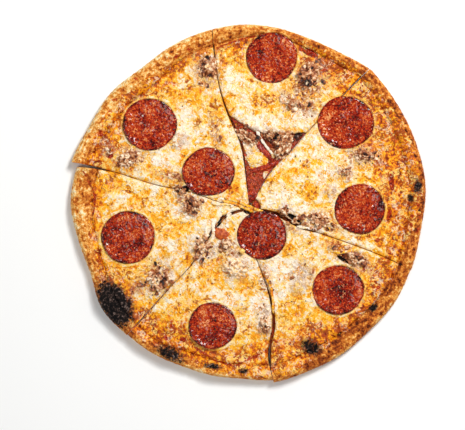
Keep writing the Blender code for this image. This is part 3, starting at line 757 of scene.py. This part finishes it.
def lathe(profile, count):
    """A closed turned mesh: rings of points at each (radius, height) of the profile, pole to pole."""
    turn = np.linspace(0, math.tau, count, endpoint=False)
    rings = np.array(profile[1:-1])
    x = rings[:, :1] * np.cos(turn)
    y = rings[:, :1] * np.sin(turn)
    z = np.repeat(rings[:, 1:], count, 1)
    poles = [(0, 0, profile[0][1]), (0, 0, profile[-1][1])]
    verts = np.concatenate((np.stack((x, y, z), -1).reshape(-1, 3), poles))
    index = np.arange(len(rings) * count).reshape(len(rings), count)
    ahead = np.roll(index, -1, 1)
    quads = np.stack((index[:-1], index[1:], ahead[1:], ahead[:-1]), -1).reshape(-1, 4).tolist()
    top, bottom = len(verts) - 2, len(verts) - 1
    caps = [(top, a, b) for a, b in zip(index[0].tolist(), ahead[0].tolist())]
    caps += [(bottom, b, a) for a, b in zip(index[-1].tolist(), ahead[-1].tolist())]
    return verts, quads + caps


def add_pepperoni(index, look):
    radius, squeeze = PEPPERONI[index][2:4]
    thick, curl = PEPPERONI_THICKNESS, PEPPERONI_CURL
    stations = np.array((0, 0.6, 0.78, 0.90, 0.96, 0.99, 1.0, 0.985, 0.9, 0.75, 0.0))
    heights = thick * np.array((1, 1, 1, 1, 1, 0.9, 0.72, 0.5, 0, 0, 0))
    heights += curl * np.array((0, 0, 0.3, 0.85, 1, 1, 1, 1, 0.75, 0, 0))
    path = np.concatenate(((0,), np.cumsum(np.hypot(np.diff(stations) * radius, np.diff(heights)))))
    steps = np.linspace(0, path[-1] * 0.72, DISC_STEPS)
    steps = np.concatenate((steps, (path[-2], path[-1])))
    profile = list(zip(np.interp(steps, path, stations) * radius, np.interp(steps, path, heights)))
    verts, faces = lathe(profile, DISC_SIDES)
    x, y, z = verts.T
    reach = np.hypot(x, y) / radius
    direction = np.arctan2(y, x)
    shift = 37 * index
    on_top = z > thick * 0.8
    z = z + on_top * (0.36 * waves(x + shift, y, 8, 51) + 0.30 * waves(x + shift, y, 2.8, 52))
    z += on_top * 0.16 * waves(x + shift, y, 1.5, 53)
    z += 0.35 * waves(x + shift, y, 9, 54) * step(reach, 0.7, 1)
    swell = 1 + 0.012 * np.sin(3 * direction + index) + 0.008 * np.sin(5 * direction + 2 * index)
    swell += 0.007 * waves(x + shift, y, 3.5, 55)
    flat = np.stack((x * swell, y * swell * squeeze, z), -1)
    matrix = np.array(disc_matrix(index))
    placed = flat @ matrix[:3, :3].T + matrix[:3, 3]
    made = add_piece(
        f"pepperoni_slice_{index + 1}", placed, faces, look, [f"pepperoni_{index + 1}"], {"reach": reach}
    )


def ball(detail):
    """Directions and faces of an icosphere."""
    bm = bmesh.new()
    bmesh.ops.create_icosphere(bm, subdivisions=detail, radius=1)
    verts = np.array([vert.co for vert in bm.verts])
    faces = [[vert.index for vert in face.verts] for face in bm.faces]
    bm.free()
    return verts / np.linalg.norm(verts, axis=1)[:, None], faces


def knobs(verts, size, shift):
    return np.array([noise.noise((x * size + shift, y * size, z * size)) for x, y, z in verts])


def lump(shape, floor, seed, crumble, detail=5):
    """A rough lump with a flat underside, placed as in the solids.

    Also returns how high each point of it is and how far it stands out from the lump's mean form.
    """
    mx, my, length, width, direction, height = shape
    verts, faces = ball(detail)
    swell = 1 + MEAT_ROUGHNESS * knobs(verts, 1.7, seed * 3.1)
    swell += crumble * (0.9 * knobs(verts, 3.0, seed * 2.3) + 0.7 * knobs(verts, 5.5, seed * 1.7))
    swell += crumble * 0.3 * knobs(verts, 11, seed * 1.3)
    x = length / 2 * swell * verts[:, 0]
    y = width / 2 * swell * verts[:, 1]
    z = np.where(verts[:, 2] > 0, height * swell * verts[:, 2], verts[:, 2] * 0.4)
    x, y = turned(x, y, math.radians(direction))
    placed = np.stack((mx + x, my + y, floor + z), -1)
    return placed, faces, verts[:, 2], swell - swell.mean()


def add_meat(index, look):
    floor = MEAT_ON_SAUCE_FLOOR if index in MEAT_ON_SAUCE else MEAT_FLOOR
    verts, faces, rise, relief = lump(MEAT[index], floor, index, 0.36)
    verts[:, 2] = capped(verts[:, 2] + 0.6) - 0.6
    # Painted shade and light: the meat is lighter where it stands out and darker in its crevices.
    tone = MEAT_TONE[index] - 0.06 + 1.1 * relief
    masks = {"cover": np.full(len(verts), MEAT_COVER[index]), "rise": rise, "tone": tone}
    made = add_piece(f"crumble_{index + 1}", verts, faces, look, [f"meat_{index + 1}"], masks)


def flat_masks(verts, tone):
    """The masks of the baked look for a plain bit of cheese."""
    masks = {key: np.zeros(len(verts)) for key in ("bread", "char_and_shadow", "sauce", "grey", "halo")}
    masks["bread_tone"] = np.full(len(verts), 0.5)
    masks["tone"] = np.clip(tone + 0.3 * waves(verts[:, 0], verts[:, 1], 5, 71), 0, 0.9)
    return masks


def add_torn_tip(piece, cheese, red):
    """The sauce that is left bare at the top slice's tip, with shreds of cheese stuck to it."""
    outward, across = (np.linspace(0, 1, count) for count in TORN_GRID)
    start = piece["tip"] + 3
    end = along(across, piece["cheese_from"]) + 3
    radius = start + outward[:, None] * (end - start)
    first, last = slice_edges(piece, radius, -0.5)
    x, y = between(first, last, across, radius)
    left = step(in_any(x, y, RESIDUE, 0.5) + 0.5 * waves(x, y, 5, 73) + 0.3 * waves(x, y, 2, 74), 0.35, 0.6)
    z = SAUCE_TOP + 0.35 + 0.45 * waves(x, y, 4.5, 75) + 0.25 * waves(x, y, 1.9, 76) + 1.1 * left
    masks = flat_masks(np.stack((x.ravel(), y.ravel()), -1), 0.70)
    masks["sauce"] = 1 - left.ravel()
    masks["grey"] = 0.5 * left.ravel()
    # Painted shade: the sauce is darkened toward the torn edge of the cheese on one side, as shade under
    # that edge.
    masks["char_and_shadow"] = (0.55 * step(radius, end - 22, end - 5) * step(across, 0.35, 0.6)[::-1]).ravel()
    verts, faces, ring = closed_sheet(np.stack((x, y, z), -1), SAUCE_TOP + 0.02)
    add_piece("torn_tip_sauce", verts, faces, cheese, masks=with_floor(masks, ring))
    for index, shape in enumerate(SAUCE_RIDGES):
        verts, faces, _, _ = lump(shape, SAUCE_TOP + 0.5, SAUCE_RIDGE_SEED + index, 0.2, 4)
        add_piece(f"sauce_ridge_{index + 1}", verts, faces, red)
    verts, faces, _, _ = lump(SCRAP, MEAT_ON_SAUCE_FLOOR, SCRAP_SEED, 0.2)
    made = add_piece("scrap_of_cheese", verts, faces, cheese, ["cheese_scrap"], flat_masks(verts, 0.58))


def add_strands(look):
    """Threads of melted cheese, thicker at their ends, in one mesh."""
    turn = np.linspace(0, math.tau, STRAND_SIDES, endpoint=False)
    steps = np.linspace(0, 1, STRAND_STEPS)
    count = STRAND_STEPS * STRAND_SIDES
    verts, faces = [], []
    for number, (points, thick, _) in enumerate(STRANDS):
        line = np.stack([along(steps, values) for values in zip(*points)], -1)
        sway = [waves(steps * 30, steps * 0, 4, number + seed) for seed in (0, 5)]
        line[:, :2] += 0.5 * np.stack(sway, -1)
        ahead = np.gradient(line, axis=0)
        ahead /= np.linalg.norm(ahead, axis=1)[:, None]
        side = np.cross(ahead, (0, 0, 1))
        side /= np.linalg.norm(side, axis=1)[:, None]
        up = np.cross(side, ahead)
        wide = thick * (1 + 0.9 * (2 * steps - 1) ** 4 + 0.3 * waves(steps * 30, steps * 0, 3, number + 50))
        wide *= np.minimum(1, np.minimum(steps, 1 - steps) * 12 + 0.15)
        rings = line[:, None] + wide[:, None, None] * (
            side[:, None] * np.cos(turn)[:, None] * 1.3 + up[:, None] * np.sin(turn)[:, None] * 0.8
        )
        index = number * count + np.arange(count).reshape(-1, STRAND_SIDES)
        after = np.roll(index, -1, 1)
        faces += np.stack((index[:-1], after[:-1], after[1:], index[1:]), -1).reshape(-1, 4).tolist()
        faces += [index[0, ::-1].tolist(), index[-1].tolist()]
        verts.append(rings.reshape(-1, 3))
    verts = np.concatenate(verts)
    tone = np.repeat([tone for _, _, tone in STRANDS], count)
    add_piece("strands_of_cheese", verts, faces, look, masks=flat_masks(verts, tone))


def scattered(name, places, shape, look, seed, sink=0.35, tone=None):
    """One joined mesh of small bits: places are (x, y, length), shape (width, height) as shares of it."""
    draw = np.random.default_rng(seed)
    base, faces = ball(1)
    verts, polygons = [], []
    for x, y, length in places:
        knocked = base * (1 + 0.25 * draw.standard_normal((len(base), 1)).clip(-1.2, 1.2))
        tall = length / 2 * shape[1]
        high = min(skyline.at(x, y) + tall * (1 - 2 * sink), HIGHEST - 1.4 * tall)
        u, v, w = (knocked * (length / 2, length / 2 * shape[0], tall)).T
        u, v = turned(u, v, draw.uniform(0, math.tau))
        polygons += [[corner + len(verts) * len(base) for corner in face] for face in faces]
        verts.append(np.stack((x + u, y + v, high + w), -1))
    masks = None
    if tone is not None:
        tones = np.repeat(draw.uniform(tone[0], tone[1], len(places)), len(base))
        masks = {"tone": tones, "cover": tones * 0, "rise": tones * 0}
    add_piece(name, np.concatenate(verts), polygons, look, masks=masks, sharp=35)


def in_patches(draw, patches, low, high):
    """Random places inside ellipses, closer together toward their middles."""
    places = []
    for mx, my, long, short, direction, count in patches:
        turn = math.radians(direction)
        for _ in range(count):
            reach, angle = draw.uniform(0, 1) ** 0.6, draw.uniform(0, math.tau)
            u, v = turned(long * reach * math.cos(angle), short * reach * math.sin(angle), turn)
            size = low + (high - low) * draw.uniform(0, 1) ** 2
            places.append((mx + u, my + v, size))
    return places


def off_discs(places):
    return [
        place for place in places
        if all(math.hypot(place[0] - x, place[1] - y) > radius + 1 for x, y, radius, _, _, _ in PEPPERONI)
    ]


def add_sprinkles(lump_look, crumb_look):
    draw = np.random.default_rng(5)
    meat_bits = off_discs(in_patches(draw, CRUMBLED, 1.6, 6.5))
    all_over = in_patches(draw, ((0, -5, 122, 122, 0, 170),), 0.8, 1.9)
    discs = [(x, y, radius * 0.85, radius * 0.85, 0, 7) for x, y, radius, _, _, _ in PEPPERONI]
    on_discs = in_patches(draw, discs, 0.7, 1.5)
    chilli = off_discs(in_patches(draw, ((0, 0, 118, 118, 0, 60),), 0.9, 2.4))
    herb = plain_look("dried_herb_look", srgb(52, 34, 10), srgb(128, 86, 30), 0.8, 1)
    red = plain_look("chilli_look", srgb(120, 28, 8), srgb(186, 78, 24), 0.5, 1)
    scattered("bits_of_meat", meat_bits, (0.7, 0.5), lump_look, 6, sink=0.45, tone=(0.22, 0.80))
    scattered("dried_herb_flecks", all_over + on_discs, (0.55, 0.35), herb, 7)
    scattered("chilli_flecks", chilli, (0.5, 0.3), red, 8)
    for number, (x, y, size) in enumerate(CRUMBS, 1):
        verts, faces = ball(2)
        u, v, w = (np.sign(verts) * np.abs(verts) ** 0.55 * size * 0.42).T
        cube = np.stack((u - v, u + v, w * 1.4), -1) * 0.71
        placed = cube + (x, y, skyline.at(x, y) + size * 0.4)
        add_piece(f"bread_crumb_{number}", placed, faces, crumb_look)


class Tree:
    """The nodes of a material or a world."""

    def __init__(self, owner):
        owner.use_nodes = True
        self.nodes = owner.node_tree.nodes
        self.links = owner.node_tree.links

    def put(self, socket, value):
        """Links or sets a socket."""
        if isinstance(value, bpy.types.NodeSocket):
            self.links.new(value, socket)
        else:
            socket.default_value = value

    def fill(self, node, values):
        for name, value in values.items():
            self.put(node.inputs[name.replace("_", " ")], value)

    def node(self, kind, settings=(), **values):
        """A new node with its settings, and its inputs linked or set by name."""
        node = self.nodes.new(f"ShaderNode{kind}")
        for name, value in settings:
            setattr(node, name, value)
        self.fill(node, values)
        return node


class Look(Tree):
    """A material, with short names for the steps that the looks share."""

    def __init__(self, name, roughness, **sockets):
        self.material = bpy.data.materials.new(name)
        super().__init__(self.material)
        self.shader = self.nodes["Principled BSDF"]
        self.fill(self.shader, {"Roughness": roughness, **sockets})
        self.place = self.node("TexCoord").outputs["Object"]

    def mask(self, name):
        return self.node("Attribute", [("attribute_name", name)]).outputs["Fac"]

    def noise(self, size, detail=2.0, rough=0.5, distortion=0.0, seed=0.0):
        """Noise with features of about the size in millimetres, mostly from 0.3 to 0.7."""
        return self.node(
            "TexNoise", [("noise_dimensions", "4D")], Vector=self.place, W=seed, Scale=1000 / size,
            Detail=detail, Roughness=rough, Distortion=distortion,
        ).outputs["Fac"]

    def math(self, operation, *values):
        node = self.node("Math", [("operation", operation)])
        for socket, value in zip(node.inputs, values):
            self.put(socket, value)
        return node.outputs["Value"]

    def times(self, first, second):
        return self.math("MULTIPLY", first, second)

    def around(self, value, gain, base):
        """The base, with the noise's distance from its middle added at the given gain."""
        return self.math("ADD", base, self.times(self.math("SUBTRACT", value, 0.5), gain))

    def ease(self, value, low, high):
        """0 at low and 1 at high, smooth between; low may be above high."""
        smooth = [("interpolation_type", "SMOOTHSTEP")]
        return self.node("MapRange", smooth, Value=value, From_Min=low, From_Max=high).outputs["Result"]

    def mix(self, factor, first, second):
        colours = [("data_type", "RGBA")]
        return self.node("Mix", colours, Factor=factor, A=first, B=second).outputs["Result"]

    def over(self, colour, factor, share, *paint):
        """Lays a paint over a colour where the factor is high, at most at the given share."""
        return self.mix(self.times(factor, share), colour, srgb(*paint))

    def ramp(self, value, *stops):
        """A colour picked by value between stops of (position, red, green, blue)."""
        node = self.node("ValToRGB", Fac=value)
        elements = node.color_ramp.elements
        for element, (position, *colour) in zip(elements, (stops[0], stops[-1])):
            element.position = position
            element.color = srgb(*colour)
        for position, *colour in stops[1:-1]:
            elements.new(position).color = srgb(*colour)
        return node.outputs["Color"]

    def finish(self, colour, height, depth, roughness=None):
        self.put(self.shader.inputs["Base Color"], colour)
        if roughness is not None:
            self.put(self.shader.inputs["Roughness"], roughness)
        bump = self.node("Bump", Strength=1, Distance=depth * MM, Height=height)
        self.put(self.shader.inputs["Normal"], bump.outputs["Normal"])
        return self.material


def spotted(look, noise_value, mask, at_none, at_full, soft=0.04):
    """Spots of noise that cover more of the surface as the mask rises."""
    limit = look.math("MULTIPLY_ADD", mask, at_full - at_none, at_none)
    return look.ease(look.math("SUBTRACT", noise_value, limit), -soft, soft)


def stroke(look, size, seed):
    """Thin broken curls."""
    bend = look.math("ABSOLUTE", look.math("SUBTRACT", look.noise(size, 2, 0.5, 1.3, seed), 0.5))
    broken = look.ease(look.noise(size * 1.6, 2, 0.6, 0, seed + 0.5), 0.50, 0.58)
    return look.times(look.ease(bend, 0.07, 0.015), broken)


def melted_colour(look, tone, clump, fleck, grain):
    """Cheese from red-brown through gold to cream, with curls in it."""
    level = look.around(clump, look.math("MULTIPLY_ADD", tone, -1.3, 2.0), tone)
    level = look.around(fleck, look.math("MULTIPLY_ADD", tone, -0.8, 1.2), level)
    level = look.around(grain, 0.3, level)
    level = look.math("SMOOTH_MAX", level, look.times(tone, 0.6), 0.12)
    highest = look.math("MAXIMUM", look.math("ADD", tone, 0.14), 0.52)
    level = look.math("SMOOTH_MIN", level, highest, 0.10)
    cheese = look.ramp(
        level, (0.0, 122, 36, 4), (0.08, 178, 72, 4), (0.19, 220, 110, 4), (0.32, 244, 152, 4),
        (0.44, 252, 178, 14), (0.52, 250, 194, 60), (0.58, 248, 214, 150), (0.68, 245, 223, 190),
        (0.84, 245, 232, 212), (1.0, 252, 244, 232),
    )
    cheese = look.over(cheese, stroke(look, 5.0, 5), 1, 240, 160, 16)
    # Pale curls: painted highlights along the cheese.
    cheese = look.over(cheese, stroke(look, 6.0, 7), 0.5, 255, 242, 206)
    return look.over(cheese, stroke(look, 4.2, 9), 1, 248, 206, 110)


def veiled(look, cheese, grey, fleck):
    """Cheese that is greyish brown where the mask is high, from the meat under it."""
    veil = look.times(grey, look.ease(look.noise(3.0, 3, 0.7, 0.8, 10), 0.40, 0.56))
    shade = look.ramp(fleck, (0.34, 126, 70, 44), (0.5, 178, 128, 100), (0.64, 214, 178, 156))
    return look.mix(look.times(veil, 0.85), cheese, shade)


def bread_colour(look, bread_tone, crumb):
    level = look.around(look.noise(1.1, 2, 0.6, 0.5, 13), 1.0, look.around(crumb, 1.0, bread_tone))
    level = look.around(look.noise(7, 2, 0.5, 0.8, 14), 1.1, level)
    return look.ramp(
        level, (0.0, 54, 16, 2), (0.18, 120, 46, 8), (0.36, 174, 84, 20), (0.52, 210, 124, 40),
        (0.68, 236, 164, 74), (0.85, 250, 208, 132), (1.0, 254, 234, 192),
    )


def pool_colour(look, clump, fleck):
    """Sauce that has run out over the cheese."""
    return look.ramp(
        look.around(fleck, 1.8, look.around(clump, 1.2, 0.45)), (0.0, 44, 2, 0), (0.3, 112, 12, 0),
        (0.55, 166, 38, 6), (0.8, 206, 86, 28), (1.0, 236, 158, 90),
    )


# Near-black for the burns and for the painted shadow of the hollows.
def soot_and_shadow_colour(look):
    return look.ramp(
        look.around(look.noise(1.7, 2, 0.6, 0.4, 20), 3.6, 0.30), (0.0, 3, 1, 1), (0.35, 18, 10, 8),
        (0.65, 58, 42, 36), (1.0, 130, 112, 104),
    )


def baked_look(name):
    """Cheese, browned cheese and bread in one look, chosen by masks."""
    look = Look(name, 0.4, Specular_IOR_Level=0.2)
    tone, bread, bread_tone = look.mask("tone"), look.mask("bread"), look.mask("bread_tone")
    char_and_shadow, sauce, grey, halo = (look.mask(key) for key in ("char_and_shadow", "sauce", "grey", "halo"))
    clump = look.noise(4.8, 3, 0.58, 1.5, 2)
    fleck = look.noise(2.0, 2, 0.6, 1.2, 3)
    grain = look.noise(1.05, 2, 0.6, 0.2, 4)
    crumb = look.noise(2.3, 3, 0.7, 0.6, 12)

    cheese = melted_colour(look, tone, clump, fleck, grain)
    cheese = look.over(cheese, halo, 0.45, 255, 214, 116)
    cheese = veiled(look, cheese, grey, fleck)
    cheese = look.over(cheese, look.ease(look.noise(2.2, 2, 0.6, 0.8, 24), 0.63, 0.67), 1, 226, 138, 10)
    cheese = look.over(cheese, stroke(look, 7.0, 15), look.ease(tone, 0.62, 0.40), 160, 70, 12)
    border = look.ease(look.around(crumb, 1.2, bread), 0.35, 0.65)
    colour = look.mix(border, cheese, bread_colour(look, bread_tone, crumb))

    wet = spotted(look, clump, sauce, 0.80, 0.34, 0.06)
    colour = look.mix(look.times(wet, 0.97), colour, pool_colour(look, clump, fleck))
    # A brown fringe round the burns and the painted shadows, then near-black inside them.
    colour = look.over(colour, look.ease(look.around(crumb, 1.6, char_and_shadow), 0.05, 0.5), 0.6, 118, 54, 16)
    burn_and_shadow = look.ease(look.around(look.noise(3.2, 4, 0.8, 0.8, 22), 2.2, char_and_shadow), 0.32, 0.60)
    colour = look.mix(burn_and_shadow, colour, soot_and_shadow_colour(look))

    matt = look.math("MAXIMUM", look.times(border, 0.8), look.times(burn_and_shadow, 0.9))
    matt = look.math("MAXIMUM", matt, look.math("MULTIPLY_ADD", wet, -0.16, 0.38))
    height = look.math("MULTIPLY_ADD", fleck, 0.5, look.math("MULTIPLY_ADD", grain, 0.2, clump))
    return look.finish(colour, height, 1.8, look.around(grain, 0.4, matt))


def sauce_look():
    look = Look("tomato_sauce_look", 0.3, Specular_IOR_Level=0.25, Coat_Weight=0.15, Coat_Roughness=0.12)
    lumps = look.noise(3.4, 3, 0.6, 0.8, 31)
    fine = look.noise(1.4, 3, 0.6, 0.4, 32)
    level = look.around(fine, 1.3, look.around(lumps, 1.6, 0.42))
    colour = look.ramp(
        level, (0.0, 48, 2, 0), (0.24, 116, 12, 0), (0.5, 168, 40, 6), (0.75, 206, 84, 26),
        (1.0, 236, 160, 94),
    )
    return look.finish(colour, look.math("MULTIPLY_ADD", fine, 0.5, lumps), 1.3)


def pepperoni_look():
    look = Look("pepperoni_look", 0.3, Specular_IOR_Level=0.12, Coat_Weight=0.46, Coat_Roughness=0.08)
    reach = look.mask("reach")
    wide = look.noise(11, 3, 0.55, 0.5, 41)
    grain = look.noise(1.9, 3, 0.65, 0.5, 42)
    fine = look.noise(1.0, 2, 0.6, 0.2, 43)
    level = look.around(fine, 1.4, look.around(grain, 1.8, look.around(wide, 1.6, 0.50)))
    ring = look.times(look.ease(reach, 0.89, 0.96), look.ease(reach, 1.02, 0.985))
    level = look.math("MULTIPLY_ADD", ring, -0.18, level)
    colour = look.ramp(
        level, (0.0, 24, 1, 0), (0.22, 86, 5, 0), (0.46, 156, 24, 1), (0.66, 194, 58, 8),
        (0.84, 218, 100, 34), (1.0, 242, 174, 112),
    )
    fat = look.ease(look.noise(1.7, 2, 0.6, 0.8, 44), 0.60, 0.68)
    colour = look.over(colour, fat, 0.7, 240, 168, 112)
    pit = look.ease(look.noise(2.0, 2, 0.6, 0.6, 45), 0.37, 0.31)
    colour = look.over(colour, pit, 0.7, 76, 6, 2)
    height = look.math("MULTIPLY_ADD", fine, 0.6, grain)
    return look.finish(colour, height, 2.0, look.around(wide, 0.5, 0.34))


def meat_look():
    look = Look("browned_meat_look", 0.5, Specular_IOR_Level=0.45)
    cover, rise, tone = look.mask("cover"), look.mask("rise"), look.mask("tone")
    lumps = look.noise(5.2, 2, 0.5, 1.2, 51)
    grain = look.noise(1.7, 2, 0.5, 0.4, 52)
    level = look.around(grain, 0.8, look.around(lumps, 2.3, tone))
    colour = look.ramp(
        level, (0.0, 20, 5, 1), (0.18, 78, 28, 6), (0.36, 148, 74, 26), (0.56, 182, 116, 66),
        (0.76, 216, 172, 130), (1.0, 252, 230, 200),
    )
    # Cheese is laid more over the tops of the crumbles: partly melted cheese and partly a painted highlight
    # on the tops.
    high = look.math("MULTIPLY_ADD", rise, 0.22, look.noise(8.0, 2, 0.5, 0.7, 53))
    melt_and_highlight = spotted(look, high, cover, 0.90, 0.40, 0.05)
    cheese = look.ramp(
        look.around(grain, 1.6, 0.62), (0.1, 150, 84, 40), (0.35, 240, 176, 76),
        (0.6, 240, 212, 174), (0.9, 248, 234, 216),
    )
    colour = look.mix(look.times(melt_and_highlight, 0.95), colour, cheese)
    return look.finish(colour, look.math("MULTIPLY_ADD", grain, 0.4, lumps), 1.3)


def plain_look(name, dark, light, roughness, size):
    look = Look(name, roughness, Specular_IOR_Level=0.35)
    grain = look.noise(size, 3, 0.6, 0.3, 61)
    return look.finish(look.mix(look.ease(grain, 0.35, 0.65), dark, light), grain, 0.4)


def build_scene():
    top_look = baked_look("baked_top_look")
    red_look = sauce_look()
    disc_look = pepperoni_look()
    lump_look = meat_look()
    for number, piece in enumerate(SLICES, 1):
        add_crust(number, piece, top_look)
        add_cheese(number, piece, top_look)
        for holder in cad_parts[f"sauce_{number}"].material_slots:
            holder.material = red_look
    for index in range(len(PEPPERONI)):
        add_pepperoni(index, disc_look)
    for index in range(len(MEAT)):
        add_meat(index, lump_look)
    add_torn_tip(SLICES[TOP_SLICE - 1], top_look, red_look)
    add_strands(top_look)
    orange = plain_look("orange_scrap_look", srgb(150, 48, 4), srgb(206, 100, 30), 0.5, 2.4)
    verts, faces, _, _ = lump(ORANGE_SCRAP, CHEESE_TOP - 0.4, ORANGE_SCRAP_SEED, 0.3, 4)
    add_piece("orange_scrap", verts, faces, orange)
    crumb_look = plain_look("bread_crumb_look", srgb(226, 160, 60), srgb(255, 226, 140), 0.7, 1.6)
    add_sprinkles(lump_look, crumb_look)


def add_light(name, place, energy, size):
    light = bpy.data.lights.new(name, "AREA")
    light.energy = energy
    light.size = size
    lamp = put_in_scene(name, light)
    lamp.location = place
    lamp.rotation_euler = (-Vector(place)).to_track_quat("-Z", "Y").to_euler()


def add_sky():
    """White light all round, dimmer toward straight above."""
    world = bpy.data.worlds.new("studio")
    tree = Tree(world)
    apart = tree.node("SeparateXYZ", Vector=tree.node("TexCoord").outputs["Generated"])
    strength = tree.node("MapRange", Value=apart.outputs["Z"], From_Max=0.7, To_Min=0.8, To_Max=0.12)
    tree.fill(tree.nodes["Background"], {"Color": (1, 1, 1, 1), "Strength": strength.outputs["Result"]})
    bpy.context.scene.world = world


def add_floor(reach=4):
    mesh = bpy.data.meshes.new("floor")
    corners = [(-reach, -reach, 0), (reach, -reach, 0), (reach, reach, 0), (-reach, reach, 0)]
    mesh.from_pydata(corners, [], [(0, 1, 2, 3)])
    look = Look("floor_look", 0.9)
    shade = look.ease(look.noise(900, 2, 0.5, 0, 81), 0.3, 0.7)
    colour = look.mix(shade, srgb(238, 238, 236), srgb(243, 243, 242))
    mesh.materials.append(look.finish(colour, shade, 0.01))
    floor = put_in_scene("floor", mesh)


def add_camera():
    """Looks straight down, with the hub at the same pixel as in the photograph."""
    x = (PHOTO_SIZE[0] / 2 - HUB_PIXEL[0]) * PIXEL + HUB[0]
    y = (HUB_PIXEL[1] - PHOTO_SIZE[1] / 2) * PIXEL + HUB[1]
    camera = put_in_scene("camera", bpy.data.cameras.new("camera"))
    camera.data.sensor_width = SENSOR
    camera.data.lens = SENSOR * CAMERA_DISTANCE / (PHOTO_SIZE[0] * PIXEL * MM)
    camera.location = (x * MM, y * MM, CAMERA_DISTANCE + CHEESE_TOP * MM)
    bpy.context.scene.camera = camera


def studio():
    bpy.context.scene.view_settings.view_transform = "Standard"
    add_sky()
    for light in LIGHTS:
        add_light(*light)
    add_floor()
    add_camera()


build_scene()
studio()
